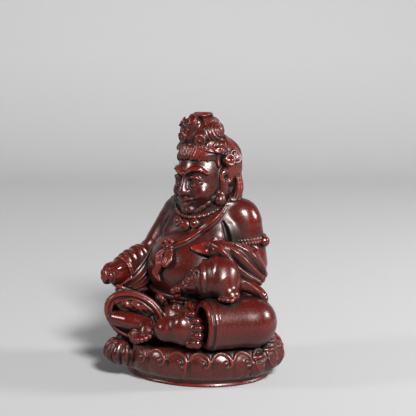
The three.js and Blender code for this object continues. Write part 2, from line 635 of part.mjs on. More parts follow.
// Crown ribbons hang behind each ear to the shoulder
for (const [side, sign] of Object.entries(SIDES)) {
  lay(headGroup, `crown_ribbon_${side}`, CLAY.cloth, (grow) => limb([
    inHead(sign * (HAIR.radii.x - 0.8), 4, 0), inHead(sign * HAIR.radii.x, 3.6, -HEAD_HEIGHT * 0.25),
    onBall(SHOULDERS, sign * 66, 46, 0.2),
  ], [1.5, 1.8, 2], grow, { flat: 0.6, facing: point(sign, 0, 0), sides: 6, steps: 3 }));
}

// Beard: curls along the jaw that meet under the chin
lay(headGroup, 'beard', CLAY.cloth, (grow) => {
  const half = BEARD_THICKNESS / 2;
  const jaw = [-1, -0.75, -0.4, 0, 0.4, 0.75, 1].map((share) => point(
    share * (SKULL.radii.x - half * 0.5),
    -SKULL.radii.y * (0.86 - 0.62 * share * share),
    -SKULL.radii.z * (0.93 - 0.61 * share * share),
  ));
  return limb(jaw, [1, 1, 0.8, 0.6, 0.8, 1, 1].map((share) => share * half), grow,
    { sides: 7, steps: 12, frame: headFrame });
});

// Mongoose: it stands on the left thigh and leans against the belly
const animalGroup = newGroup();
const RUMP = oval(
  point(BELLY_WIDTH * 0.45, BELLY.centre.y - BELLY_DEPTH * 0.412, SEAT + LEG_HEIGHT + MONGOOSE_HEIGHT / 2),
  MONGOOSE_WIDTH / 2, MONGOOSE_WIDTH * 0.48, MONGOOSE_HEIGHT / 2,
);
const animalPlace = (place, x, y, z) => place.clone().addScaledVector(point(x, y, z), MONGOOSE_WIDTH);
const NAPE = animalPlace(RUMP.centre, -0.38, -0.17, -0.115);
const SNOUT = animalPlace(NAPE, -0.385, -0.157, -0.157);
const PAW = from(RUMP.centre, MONGOOSE_WIDTH * 0.33, -MONGOOSE_WIDTH * 0.23, -MONGOOSE_HEIGHT * 0.42);
lay(animalGroup, 'mongoose', CLAY.skin, (grow) => {
  const pawSize = MONGOOSE_WIDTH * 0.2;
  const ear = (x, z) => ball(oval(animalPlace(NAPE, x, -0.115, z), pawSize * 0.36, pawSize * 0.29,
    pawSize * 0.4), grow, TINY);
  const parts = [
    ball(RUMP, grow, { wide: 14, high: 9 }),
    limb([NAPE, SNOUT], [pawSize * 1.43, pawSize * 0.72], grow, { sides: 8, steps: 1 }),
    ear(-0.157, 0.186),
    ear(-0.014, 0.229),
    ball(oval(PAW, pawSize * 1.07, pawSize * 0.93, pawSize * 0.72), grow, SMALL),
  ];
  for (const step of [-1.5, -0.5, 0.5, 1.5]) {
    const root = from(PAW, step * pawSize * 0.45, pawSize * (Math.abs(step) * 0.07 - 0.43), -pawSize * 0.07);
    const tip = from(root, step * pawSize * 0.05, -pawSize * 0.64, -pawSize * 0.29);
    parts.push(limb([root, tip], [pawSize * 0.29, pawSize * 0.25], grow, STUB));
  }
  return join(...parts);
});
const THIGH_TOP = LEG_AXIS + LEG_RADIUS;
lay(animalGroup, 'mongoose_tail', CLAY.skin, (grow) => {
  const bend = (x, y, drop) => point(KNEE.left.x + LEG_RADIUS * x, KNEE.left.y + LEG_RADIUS * y,
    THIGH_TOP - LEG_RADIUS * drop);
  return limb([animalPlace(RUMP.centre, 0.286, 0.243, -0.247), bend(-0.2, 0.25, 0), bend(0.3, 0.1, 0.12),
    bend(0.67, -0.25, 0.46)], [0.6, 0.56, 0.46, 0.24].map((share) => TAIL_THICKNESS * share), grow,
  { sides: 6, steps: 5 });
});
const SPILLED = [[-1.07, -0.4, -0.53], [-2.27, -0.27, -1.07], [-1.73, 0.27, -1.87]];
lay(animalGroup, 'mongoose_jewels', CLAY.ornament, (grow) => {
  const half = SPILLED_JEWEL_SIZE / 2;
  return join(...SPILLED.map(([x, y, z]) => (
    ball(sphere(from(SNOUT, x * half, y * half, z * half), half), grow, TINY))));
});

// Arms: shoulder, elbow and wrist on each side
const UPPER_RADIUS = UPPER_ARM_WIDTH / 2;
const FORE_RADIUS = FOREARM_WIDTH / 2;
const SHOULDER = { left: onBall(SHOULDERS, 90, -38, -1.8), right: onBall(SHOULDERS, -90, -44, -0.6) };
const ELBOW = {
  left: SHOULDER.left.clone().addScaledVector(point(0.2, 0.06, -0.97).normalize(), UPPER_ARM_LENGTH),
  right: SHOULDER.right.clone().addScaledVector(point(-0.47, -0.26, -0.85).normalize(), UPPER_ARM_LENGTH),
};
const FOREARM_WAY = { left: point(-0.085, -0.936, 0.34), right: point(-0.25, -0.935, -0.25) };
const WRIST = {};
for (const side of ['left', 'right']) {
  WRIST[side] = ELBOW[side].clone().addScaledVector(FOREARM_WAY[side].normalize(), FOREARM_LENGTH[side]);
}
const FOREARM_BEND = { left: point(0.29, 0, 0), right: point(-0.07, 0, 0.07) };
const armGroup = newGroup();
for (const side of ['left', 'right']) {
  lay(armGroup, `upper_arm_${side}`, CLAY.skin, (grow) => limb(
    [SHOULDER[side], between(SHOULDER[side], ELBOW[side], 0.5), ELBOW[side]],
    [UPPER_RADIUS, UPPER_RADIUS * 1.02, UPPER_RADIUS * 0.92], grow, { sides: 12, steps: 2, caps: 3 }));
  lay(armGroup, `forearm_${side}`, CLAY.skin, (grow) => limb(
    [ELBOW[side], between(ELBOW[side], WRIST[side], 0.5).addScaledVector(FOREARM_BEND[side], FOREARM_WIDTH),
      WRIST[side]],
    [FORE_RADIUS, FORE_RADIUS * 0.98, FORE_RADIUS * (side === 'right' ? 0.9 : 0.76)], grow,
    { sides: 9, steps: 3 }));
}

// The left hand lies open across the belly, over the mongoose
const LEFT_HAND_WAY = point(-0.96, -0.26, 0.04).normalize();
lay(armGroup, 'hand_left', CLAY.skin, (grow) => {
  const palm = WRIST.left.clone().addScaledVector(LEFT_HAND_WAY, HAND_WIDTH * 0.4);
  const parts = [limb([WRIST.left, palm], [HAND_WIDTH * 0.42, HAND_WIDTH / 2], grow,
    { flat: 0.6, facing: point(0.3, -0.7, 0.65), steps: 2 })];
  for (let finger = 0; finger < 4; finger += 1) {
    const root = from(palm, -HAND_WIDTH * 0.135, HAND_WIDTH * (finger * 0.068 - 0.135),
      HAND_WIDTH * (finger * 0.19 - 0.27));
    const tip = root.clone().addScaledVector(LEFT_HAND_WAY, FINGER_LENGTH);
    parts.push(limb([root, tip], [FINGER_WIDTH / 2, FINGER_WIDTH * 0.42], grow, STUB));
  }
  return join(...parts);
});

// The right hand closes round a jewel on the knee
const HELD = sphere(WRIST.right.clone().addScaledVector(FOREARM_WAY.right, HELD_JEWEL_SIZE * 0.45),
  HELD_JEWEL_SIZE / 2);
lay(armGroup, 'held_jewel', CLAY.ornament, (grow) => ball(HELD, grow));
lay(armGroup, 'hand_right', CLAY.skin, (grow) => {
  const palm = from(WRIST.right, 0, -HAND_WIDTH * 0.1, -HAND_WIDTH * 0.05);
  const parts = [ball(oval(palm, HAND_WIDTH * 0.55, HAND_WIDTH / 2, HAND_WIDTH * 0.55), grow)];
  for (let finger = 0; finger < 4; finger += 1) {
    const turn = radians(150 + finger * 32);
    const spoke = point(Math.cos(turn), 0, Math.sin(turn));
    const root = from(palm, 0, HAND_WIDTH * 0.1, 0).addScaledVector(spoke, HAND_WIDTH * 0.42);
    const tip = from(HELD.centre, 0, -FINGER_WIDTH / 2, 0).addScaledVector(spoke, HELD.radii.x * 1.14);
    parts.push(limb([root, tip], [FINGER_WIDTH / 2, FINGER_WIDTH * 0.42], grow, STUB));
  }
  return join(...parts);
});

// A rope armlet with a round jewel on the left arm, and a bracelet on the right wrist
const ARMLET_AXIS = ELBOW.left.clone().sub(SHOULDER.left);
const ARMLET = between(SHOULDER.left, ELBOW.left, 0.5);
lay(armGroup, 'armlet_left', CLAY.ornament, (grow) => join(
  ring(ARMLET, ARMLET_AXIS, UPPER_RADIUS, ARMLET_THICKNESS / 2, grow, { steps: 18 }),
  ball(sphere(from(ARMLET, UPPER_RADIUS + ARMLET_THICKNESS / 2, 0, 0), ARMLET_THICKNESS * 1.1), grow, SMALL),
));
lay(armGroup, 'bracelet_right', CLAY.ornament, (grow) => ring(between(WRIST.right, ELBOW.right, 0.06),
  FOREARM_WAY.right, FORE_RADIUS * 0.96, ARMLET_THICKNESS / 2, grow));

// Folded drapes hang over the forearms
const dressGroup = newGroup();
function drape(points, widths, facing, grow) {
  const folds = [-0.5, 0.5].map((step) => limb(points.map((place) => from(place, 0, 0, step * DRAPE_WIDTH)),
    widths.map((share) => DRAPE_WIDTH * share), grow, { flat: 0.6, facing, sides: 6, steps: 5 }));
  return join(...folds);
}
const armPlace = (place, x, y, z) => place.clone().addScaledVector(point(x, y, z), FORE_RADIUS);
lay(dressGroup, 'drape_left', CLAY.cloth, (grow) => drape([
  armPlace(WRIST.left, 0.36, -0.44, -0.44), armPlace(between(ELBOW.left, WRIST.left, 0.62), 1.1, -0.44, -0.9),
  armPlace(ELBOW.left, 0.98, -1.24, -0.98), armPlace(ELBOW.left, 0.84, -0.44, -1.7),
], [0.56, 0.62, 0.62, 0.46], point(0.7, -0.7, 0.2), grow));
lay(dressGroup, 'drape_right', CLAY.cloth, (grow) => drape([
  armPlace(ELBOW.right, 0.44, -0.58, 0.9), armPlace(between(ELBOW.right, WRIST.right, 0.4), 0.8, -0.3, 0.1),
  armPlace(between(ELBOW.right, WRIST.right, 0.76), 0.84, 0.04, -0.5), armPlace(WRIST.right, 0.3, 0.2, -1.1),
], [0.52, 0.6, 0.56, 0.4], point(0.5, -0.85, 0.1), grow));

// A narrow sash crosses the chest to a knot above the navel
const SASH_KNOT = onBall(BELLY, -10, 34, 0.7);
const SASH_RADIUS = SASH_WIDTH / 2;
lay(dressGroup, 'sash', CLAY.cloth, (grow) => {
  const fall = [[54, 0.6], [37, 0.33], [20, 0.07], [6, -0.16]];
  const route = [onBall(SHOULDERS, 62, 52, 0.2), ...fall.map(([azimuth, rise]) => (
    onTrunk(azimuth, CHEST.centre.z + CHEST.radii.z * rise, SASH_WIDTH * 0.14))), SASH_KNOT];
  return limb(route, route.map(() => SASH_RADIUS), grow, { flat: 0.6, facing: FRONT, sides: 6, steps: 8 });
});
lay(dressGroup, 'sash_knot', CLAY.cloth, (grow) => {
  const end = (azimuth, low) => limb([SASH_KNOT, onBall(BELLY, azimuth, low / 2 + 20, 0.6),
    onBall(BELLY, azimuth * 1.1, low, 0.6)], [0.8, 1.05, 0.8].map((share) => share * SASH_RADIUS), grow,
  { flat: 0.6, facing: FRONT, sides: 6, steps: 5 });
  return join(ball(sphere(SASH_KNOT, SASH_RADIUS * 1.3), grow, SMALL), end(-15, -14), end(-20, 8));
});

// Necklace: a string of beads over the chest, with three round pendants below it
lay(dressGroup, 'necklace', CLAY.ornament, (grow) => {
  const reach = NECK_WIDTH * 0.82;
  const place = (azimuth) => {
    const share = Math.cos(radians(azimuth));
    const height = SHOULDERS.centre.z + reach * (0.48 - 0.64 * share);
    return point(reach * Math.sin(radians(azimuth)), CHEST.centre.y - reach * share, height);
  };
  const parts = [limb([-76, -52, -26, 0, 26, 52, 76].map(place), Array(7).fill(BEAD_SIZE * 0.3), grow,
    { sides: 4, steps: 12, caps: 1 })];
  for (let bead = 0; bead < BEADS; bead += 1) {
    parts.push(ball(sphere(place((bead / (BEADS - 1) - 0.5) * 140), BEAD_SIZE / 2), grow, TINY));
  }
  return join(...parts);
});
[[-17, 20], [-5, 14], [9, 19]].forEach(([azimuth, elevation], index) => {
  const place = onBall(CHEST, azimuth, elevation, 0.5);
  const half = PENDANT_SIZE / 2 * (index === 1 ? 1.15 : 0.9);
  lay(dressGroup, `pendant_${index + 1}`, CLAY.ornament, (grow) => ball(
    oval(place, half, half * 0.6, half), grow, { wide: 8, high: 6 }));
});

// Belt: a roll under the belly, with two rosettes, a jewel, tassels and an apron
const beltPlace = (azimuth, out = 0) => onBall(BELLY, azimuth, -36 + Math.abs(azimuth) * 0.16, out);
lay(dressGroup, 'belt', CLAY.ornament, (grow) => {
  const route = [-80, -50, -20, 10, 34, 56].map((azimuth) => beltPlace(azimuth, BELT_THICKNESS * 0.16));
  return limb(route, route.map(() => BELT_THICKNESS / 2), grow, { sides: 6, steps: 8 });
});
const BELT_PIECES = { right: -24, left: 26 };
for (const [side, azimuth] of Object.entries(BELT_PIECES)) {
  const centre = from(beltPlace(azimuth, ROSETTE_SIZE * 0.3), 0, -0.4, -ROSETTE_SIZE * 0.25);
  lay(dressGroup, `belt_rosette_${side}`, CLAY.ornament, (grow) => join(
    ring(centre, point(Math.sin(radians(azimuth)), -1, 0.1), ROSETTE_SIZE * 0.38, ROSETTE_SIZE * 0.14, grow,
      { sides: 4, steps: 10 }),
    ball(sphere(centre, ROSETTE_SIZE * 0.28), grow, TINY),
  ));
}
lay(dressGroup, 'belt_jewel', CLAY.ornament, (grow) => join(
  ball(sphere(from(beltPlace(2, ROSETTE_SIZE * 0.33), 0, 0, -ROSETTE_SIZE * 0.54), ROSETTE_SIZE * 0.46), grow,
    SMALL),
  ball(oval(from(beltPlace(2, ROSETTE_SIZE * 0.25), 0, 0, -ROSETTE_SIZE * 0.08), ROSETTE_SIZE * 0.58,
    ROSETTE_SIZE * 0.29, ROSETTE_SIZE * 0.25), grow, SMALL),
));
for (const [side, azimuth] of Object.entries(BELT_PIECES)) {
  const top = from(beltPlace(azimuth * 0.6, TASSEL_LENGTH * 0.22), 0, 0, -TASSEL_LENGTH * 0.11);
  const fall = (share) => from(top, 0, TASSEL_LENGTH * 0.22 * share, -TASSEL_LENGTH * share);
  lay(dressGroup, `tassel_${side}`, CLAY.ornament, (grow) => limb([top, fall(0.56), fall(1)],
    [0.17, 0.22, 0.26].map((share) => TASSEL_LENGTH * share), grow, { sides: 6, steps: 2 }));
}
lay(dressGroup, 'apron', CLAY.cloth, (grow) => {
  const reach = LEG_RADIUS * 1.05;
  const centre = point(0, BELLY.centre.y - BELLY.radii.y * 0.97, SEAT + LEG_RADIUS * 1.3);
  const route = [-70, 0, 70].map((turn) => from(centre, Math.sin(radians(turn)) * reach, -reach * 0.14,
    -Math.cos(radians(turn)) * reach));
  const fold = limb(route, [0.13, 0.167, 0.13].map((share) => reach * share), grow, { sides: 5 });
  const body = oval(from(centre, 0, reach * 0.31, -LEG_RADIUS * 0.5), reach, reach * 0.52, LEG_RADIUS * 0.8);
  return join(ball(body, grow), fold).subtract(underSeat());
});

// The origin is the middle of the whole outline, on the surface that the base stands on
const middle = new THREE.Box3().setFromObject(figure).getCenter(point(0, 0, 0));
figure.position.set(-middle.x, -middle.y, 0);
figure.updateMatrixWorld(true);

export default figure;
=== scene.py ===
import math

import bpy
import numpy as np
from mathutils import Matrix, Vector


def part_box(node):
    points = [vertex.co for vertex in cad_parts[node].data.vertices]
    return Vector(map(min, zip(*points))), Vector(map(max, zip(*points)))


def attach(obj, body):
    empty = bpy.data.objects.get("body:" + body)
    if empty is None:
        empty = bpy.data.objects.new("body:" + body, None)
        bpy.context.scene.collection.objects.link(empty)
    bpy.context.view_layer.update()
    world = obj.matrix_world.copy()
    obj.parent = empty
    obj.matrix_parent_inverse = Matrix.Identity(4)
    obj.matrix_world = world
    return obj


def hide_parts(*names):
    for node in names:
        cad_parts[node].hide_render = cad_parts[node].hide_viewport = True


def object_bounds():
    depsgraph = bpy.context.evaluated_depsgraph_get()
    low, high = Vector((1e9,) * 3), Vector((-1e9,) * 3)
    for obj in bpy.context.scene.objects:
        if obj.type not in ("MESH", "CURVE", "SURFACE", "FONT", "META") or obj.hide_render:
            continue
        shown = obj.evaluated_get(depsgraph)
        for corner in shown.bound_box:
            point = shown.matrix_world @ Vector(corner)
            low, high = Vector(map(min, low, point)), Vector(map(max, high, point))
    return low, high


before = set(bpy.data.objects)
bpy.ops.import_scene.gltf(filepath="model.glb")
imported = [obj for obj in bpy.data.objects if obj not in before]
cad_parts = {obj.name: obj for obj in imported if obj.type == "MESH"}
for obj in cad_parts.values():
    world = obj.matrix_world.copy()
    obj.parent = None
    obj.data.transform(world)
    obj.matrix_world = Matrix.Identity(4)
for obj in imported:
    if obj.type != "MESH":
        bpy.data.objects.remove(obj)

import openvdb
from mathutils import Vector

# Seated god of wealth, a small red clay figure on a carved lotus base, sculpted as distance fields.
# Sizes are in millimetres from the middle of the base; the frame is in metres.
CAD_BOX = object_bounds()
MM = 0.001
VOXEL_SCALE = 1.0
COARSE = 0.44 * VOXEL_SCALE
MIDDLE = 0.34 * VOXEL_SCALE
FINE = 0.25 * VOXEL_SCALE
AIR_VOXEL = 0.44 * VOXEL_SCALE
REACH = 2.0
SLACK = 1.6
SEAM = 0.08
PIECES = {}


def place(x, y, z):
    return np.array([x, y, z], float)


def unit(way):
    return way / np.linalg.norm(way)


def between(start, end, share):
    return start + (end - start) * share


def base_middle():
    low, high = (np.array(corner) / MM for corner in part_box("lotus_base"))
    return place((low[0] + high[0]) / 2, (low[1] + high[1]) / 2, 0)


ORIGIN = base_middle()


def node_box(node):
    low, high = (np.array(corner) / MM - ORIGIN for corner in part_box(node))
    return low, high


# Forms: a form is a list of distance functions, each with the box that it fills
class Form:
    def __init__(self, atoms):
        self.atoms = list(atoms)

    def __add__(self, other):
        return Form(self.atoms + other.atoms)

    def box(self):
        low = np.min([atom[1] for atom in self.atoms], axis=0)
        high = np.max([atom[2] for atom in self.atoms], axis=0)
        return low, high

    def placed(self, matrix):
        turn = matrix[:3, :3]
        shift = matrix[:3, 3]

        def moved(distance):
            def measure(x, y, z):
                x, y, z = x - shift[0], y - shift[1], z - shift[2]
                return distance(*(turn[0, i] * x + turn[1, i] * y + turn[2, i] * z for i in range(3)))
            return measure

        atoms = []
        for distance, low, high in self.atoms:
            corners = [turn @ place(*(high[i] if corner >> i & 1 else low[i] for i in range(3))) + shift
                       for corner in range(8)]
            atoms.append((moved(distance), np.min(corners, axis=0), np.max(corners, axis=0)))
        return Form(atoms)


def total(forms):
    return Form([atom for form in forms for atom in form.atoms])


def oval(centre, rx, ry, rz):
    def measure(x, y, z):
        x, y, z = x - centre[0], y - centre[1], z - centre[2]
        inner = np.sqrt((x / rx) ** 2 + (y / ry) ** 2 + (z / rz) ** 2)
        outer = np.sqrt((x / rx ** 2) ** 2 + (y / ry ** 2) ** 2 + (z / rz ** 2) ** 2)
        return np.where(inner < 1e-2, -min(rx, ry, rz), inner * (inner - 1) / np.maximum(outer, 1e-6))
    radii = place(rx, ry, rz)
    return Form([(measure, centre - radii, centre + radii)])


def sphere(centre, radius):
    return oval(centre, radius, radius, radius)


def curve(points, steps):
    """Places along a smooth curve through the points."""
    p = np.array(points, float)
    p = np.vstack([2 * p[0] - p[1], p, 2 * p[-1] - p[-2]])
    t = np.linspace(0, len(points) - 1, steps)
    i = np.minimum(t.astype(int), len(points) - 2)
    u = (t - i)[:, None]
    a, b, c, d = p[i], p[i + 1], p[i + 2], p[i + 3]
    bend = (3 * b - a - 3 * c + d) * u ** 3
    return 0.5 * (2 * b + (c - a) * u + (2 * a - 5 * b + 4 * c - d) * u ** 2 + bend)


def cone(start, end, first, last, flat, facing):
    along = end - start
    length = max(along @ along, 1e-9)
    out = None
    if facing is not None:
        out = unit(facing - along * (facing @ along) / length)

    def measure(x, y, z):
        x, y, z = x - start[0], y - start[1], z - start[2]
        share = np.clip((x * along[0] + y * along[1] + z * along[2]) / length, 0, 1)
        x, y, z = x - share * along[0], y - share * along[1], z - share * along[2]
        radius = first + (last - first) * share
        square = x * x + y * y + z * z
        if out is None:
            return np.sqrt(square) - radius
        lift = (x * out[0] + y * out[1] + z * out[2]) ** 2
        reach = np.sqrt(square + lift * (1 / flat ** 2 - 1))
        slope = np.sqrt(square + lift * (1 / flat ** 4 - 1)) / np.maximum(reach, 1e-6)
        return (reach - radius) / np.maximum(slope, 1)

    width = max(first, last)
    return measure, np.minimum(start, end) - width, np.maximum(start, end) + width


def limb(points, radii, flat=1, facing=None, smooth=True):
    """A swelling tube along a curve; its section is flat towards facing where flat is under 1."""
    points = np.array(points, float)
    radii = np.broadcast_to(np.array(radii, float), len(points))
    if len(points) > 2 and smooth:
        length = np.sum(np.linalg.norm(np.diff(points, axis=0), axis=1))
        steps = int(np.clip(length / max(0.75 * radii.mean(), 0.45), len(points), 60)) + 1
        radii = curve(radii[:, None], steps)[:, 0]
        points = curve(points, steps)
    facing = None if facing is None or flat == 1 else np.array(facing, float)
    return Form([cone(points[i], points[i + 1], radii[i], radii[i + 1], flat, facing)
                 for i in range(len(points) - 1)])


def arc(centre, axis, radius, thickness, start=0, end=360, up=None, growth=0, flat=1):
    """A ring, a part of one or, where it grows, a scroll."""
    axis = unit(np.array(axis, float))
    up = np.array(up if up is not None else (0, 0, 1), float)
    up = unit(up - axis * (up @ axis))
    side = np.cross(up, axis)
    count = max(int(abs(end - start) / 18), 3) + 1
    points = []
    for i in range(count):
        share = i / (count - 1)
        turn = math.radians(start + (end - start) * share)
        reach = radius + growth * share
        points.append(centre + reach * (math.cos(turn) * up + math.sin(turn) * side))
    sizes = np.linspace(1, 1 + 0.4 * np.sign(growth), count) * thickness
    return limb(points, sizes, flat, axis, smooth=False)


def block(low, high):
    low, high = np.array(low, float), np.array(high, float)

    def measure(x, y, z):
        parts = [np.abs(v - (a + b) / 2) - (b - a) / 2 for v, a, b in zip((x, y, z), low, high)]
        return np.maximum(np.maximum(parts[0], parts[1]), parts[2])
    return Form([(measure, low, high)])


def beyond(origin, normal, size=30):
    """Everything on the far side of a plane, near its origin."""
    normal = unit(np.array(normal, float))

    def measure(x, y, z):
        return -((x - origin[0]) * normal[0] + (y - origin[1]) * normal[1] + (z - origin[2]) * normal[2])
    return Form([(measure, origin - size, origin + size)])


class Ball:
    """An ellipsoid; azimuth 0 faces the front and 90 the figure's left."""

    def __init__(self, centre, rx, ry, rz):
        self.centre = np.array(centre, float)
        self.radii = place(rx, ry, rz)

    def at(self, azimuth, elevation, out=0.0):
        a, e = math.radians(azimuth), math.radians(elevation)
        way = place(math.sin(a) * math.cos(e), -math.cos(a) * math.cos(e), math.sin(e))
        return self.centre + way * self.radii + unit(way / self.radii) * out

    def form(self, grow=0.0):
        return oval(self.centre, *(self.radii + grow))


def smooth_min(a, b, soft):
    if soft <= 0:
        return np.minimum(a, b)
    mix = np.maximum(soft - np.abs(a - b), 0) / soft
    return np.minimum(a, b) - mix * mix * soft / 4


# Clay: a block of voxels that holds the distance to one piece's surface
class Clay:
    def __init__(self, name, slot, voxel, slack=SLACK):
        self.name = name
        self.slot = slot
        self.voxel = voxel
        low, high = node_box(name)
        self.start = np.floor((low - slack - REACH) / voxel).astype(int)
        stop = np.ceil((high + slack + REACH) / voxel).astype(int) + 1
        self.d = np.full(stop - self.start, REACH, np.float32)
        self.whole = self.d
        self.blend = None
        PIECES[name] = self

    def axes(self, first=(0, 0, 0), last=None):
        last = self.d.shape if last is None else last
        values = [((np.arange(a, b) + s) * self.voxel).astype(np.float32)
                  for a, b, s in zip(first, last, self.start)]
        return values[0][:, None, None], values[1][None, :, None], values[2][None, None, :]

    def window(self, low, high):
        first = np.floor((low - REACH) / self.voxel).astype(int) - self.start
        last = np.ceil((high + REACH) / self.voxel).astype(int) - self.start + 1
        return np.clip(first, 0, self.d.shape), np.clip(last, 0, self.d.shape)

    def measure(self, form):
        first, last = self.window(*form.box())
        field = np.full(np.maximum(last - first, 0), REACH, np.float32)
        for distance, low, high in form.atoms:
            a, b = self.window(low, high)
            if np.any(b <= a):
                continue
            part = tuple(slice(i, j) for i, j in zip(a - first, b - first))
            field[part] = np.minimum(field[part], distance(*self.axes(a, b)))
        return tuple(slice(i, j) for i, j in zip(first, last)), field

    def add(self, form, soft=0.0):
        part, field = self.measure(form)
        self.d[part] = smooth_min(self.d[part], field, soft)
        return self

    def cut(self, form, soft=0.0):
        part, field = self.measure(form)
        self.d[part] = -smooth_min(-self.d[part], field, soft)
        return self

    def sampled(self, other, field=None):
        """This clay's distances on the other clay's voxels."""
        field = self.d if field is None else field
        for axis in range(3):
            spots = (np.arange(other.d.shape[axis]) + other.start[axis]) * other.voxel / self.voxel
            spots = spots - self.start[axis]
            inside = (spots >= 0) & (spots <= self.d.shape[axis] - 1)
            base = np.clip(np.floor(spots).astype(int), 0, self.d.shape[axis] - 2)
            shape = [1, 1, 1]
            shape[axis] = -1
            mix = (np.clip(spots - base, 0, 1)).astype(np.float32).reshape(shape)
            field = np.take(field, base, axis) * (1 - mix) + np.take(field, base + 1, axis) * mix
            field = np.where(inside.reshape(shape), field, REACH)
        return field

    def at(self, points, field=None):
        """Distances at loose points, by mixing the eight voxels round each."""
        field = self.d if field is None else field
        spots = points / self.voxel - self.start
        spots = np.clip(spots, 0, np.array(self.d.shape) - 1.001)
        base = spots.astype(int)
        mix = spots - base
        value = np.zeros(len(points))
        for corner in range(8):
            step = np.array([corner & 1, corner >> 1 & 1, corner >> 2 & 1])
            weight = np.prod(np.where(step, mix, 1 - mix), axis=1)
            value += weight * field[tuple((base + step).T)]
        return value

    def onto(self, points, out=0.0):
        """Moves points to this far outside the surface."""
        points = np.array(points, float)
        for _ in range(3):
            slopes = np.array([self.at(points + way) - self.at(points - way) for way in np.eye(3) * self.voxel]).T
            slopes /= np.maximum(np.linalg.norm(slopes, axis=1, keepdims=True), 1e-6)
            points -= slopes * (self.at(points)[:, None] - out)
        return points


def loop_round(centre, way, radius, start=0, end=360, count=18):
    """Points on a circle; angle 0 is level, and 90 is its top."""
    across = unit(np.cross(way, place(0, 0, 1)))
    up = np.cross(across, unit(way))
    turns = np.radians(np.linspace(start, end, count))
    return [centre + (across * math.cos(t) + up * math.sin(t)) * radius for t in turns]


def weld(first, second, soft):
    """Blends two pieces without a seam; past the middle each dips a little under the other."""
    one, two = PIECES[first], PIECES[second]
    fields = [(one, two.sampled(one, two.whole)), (two, one.sampled(two, one.whole))]
    for clay, other in fields:
        own = clay.whole
        past = (own - other) / 2
        blended = smooth_min(own, other, soft)
        clay.blend = blended if clay.blend is None else np.minimum(clay.blend, blended)
        dip = SEAM * np.clip((past + 0.1) / 0.6, 0, 1)
        clay.d = np.maximum(np.minimum(clay.d, blended + dip), past - 0.5)


# Lotus base: petals round a hollow drum on a foot ring
SEAT = 12.5
BASE_RX = 29.3
BASE_ASPECT = 0.86
BASE_EDGE = 4.0
FOOT_RADIUS = 24.7
FOOT_HEIGHT = 2.4
PETALS = 24


def base_radius(height):
    middle = (SEAT + FOOT_HEIGHT) / 2
    reach = np.clip((height - middle) / (SEAT - middle), -1, 1)
    return BASE_RX - BASE_EDGE * (1 - np.sqrt(1 - reach * reach))


def base_place(azimuth, height, out=0.0):
    a = math.radians(azimuth)
    radius = float(base_radius(height)) + out
    return place(math.sin(a) * radius, -math.cos(a) * radius * BASE_ASPECT, height)


def petal_carving(azimuth):
    """A scalloped rim over a petal that curls into a comma with a ball in its mouth."""
    rim = ((-7.4, 9.4), (-5.4, 11.0), (-2.0, 11.75), (1.6, 11.6), (4.6, 10.7), (5.9, 9.1), (4.8, 7.7), (2.6, 7.3))
    arch = [base_place(azimuth + turn, height, 0.15) for turn, height in rim]
    lines = [limb(arch, [0.34, 0.5, 0.56, 0.58, 0.6, 0.6, 0.54, 0.36]),
             sphere(base_place(azimuth + 2.0, 8.9, 0.1), 0.78)]
    if int(round(azimuth / 15)) % 3 == 1:
        stem = [base_place(azimuth + 5.6, 9.0, 0.1), base_place(azimuth + 5.2, 6.0, 0.08),
                base_place(azimuth + 2.6, 3.8, 0.05), base_place(azimuth - 0.4, 2.9, 0)]
        lines.append(limb(stem, [0.44, 0.42, 0.36, 0.2]))
    return total(lines)


def lotus_base():
    clay = Clay("lotus_base", "base", COARSE * 0.85)
    x, y, z = clay.axes()
    across = np.hypot(x, y / BASE_ASPECT)
    turn = np.degrees(np.arctan2(x, -y / BASE_ASPECT)) * PETALS / 360
    side = 2 * np.abs(turn - np.round(turn))
    share = np.clip((z - FOOT_HEIGHT) / (SEAT - FOOT_HEIGHT), 0, 1)
    furrow = 1.15 * (1 - np.sqrt(1 - 0.9 * side ** 2)) * np.clip(np.sin(math.pi * share), 0, 1) ** 0.6
    foot = FOOT_RADIUS + 0.7 * np.clip(1 - z / 1.2, 0, 1)
    radius = np.where(z < FOOT_HEIGHT, foot, base_radius(z) - furrow)
    wall = 0.92 * (across - radius)
    clay.d = np.maximum(-smooth_min(-wall, -(z - SEAT), 0.9), -z).astype(np.float32)
    clay.add(total([petal_carving(360 * i / PETALS) for i in range(PETALS)]), 0.3)
    bore = across - (21.2 - 3.5 * np.clip(z / 8.5, 0, 1))
    hollow = np.maximum(np.maximum(bore, z - 8.5), -1 - z)
    vent = np.hypot(x, y) - 3.5 + 0 * z
    clay.d = np.maximum(clay.d, -np.minimum(hollow, vent)).astype(np.float32)
    clay.d = np.clip(clay.d, -REACH, REACH)


LEAF_LOBES = [(-13, 7.1, 0.9), (0, 8.25, 1.05), (13, 8.25, 0.95), (4, 11.7, 0.66)]


def lotus_leaf():
    clay = Clay("lotus_leaf", "base", FINE)
    lobes = []
    for turn, height, size in LEAF_LOBES:
        centre = base_place(85 + turn, SEAT / 2, -1.275)
        centre[2] = height
        lobes.append(Ball(centre, 3.08 * size, 4.2 * size, 4.62 * size))
    for lobe in lobes:
        clay.add(lobe.form(-0.2), 1.1)
    rims = [limb([lobe.at(80 + turn, 44, 0.1) for turn in (-64, -32, 0, 32, 64)], 0.5) for lobe in lobes]
    veins = [limb([lobe.at(80 + fan * 1.4, 34, 0), lobe.at(80 + fan, 0, 0.1), lobe.at(80, -34, 0)], 0.26)
             for lobe in lobes[:3] for fan in (-30, 24)]
    clay.add(total(rims + veins), 0.4)
    slit = base_place(70, 8.6, 0.8)
    clay.cut(limb([slit + place(1.8, 3.2, 1.0), slit + place(0.8, 1.2, 0.3), slit + place(-0.6, -1.2, 0.2)],
                  [0.5, 0.6, 0.2]), 0.4)
    clay.cut(limb([slit + place(0.4, 1.0, 3.0), slit + place(0, 0, 2.2)], [0.6, 0.3]), 0.4)


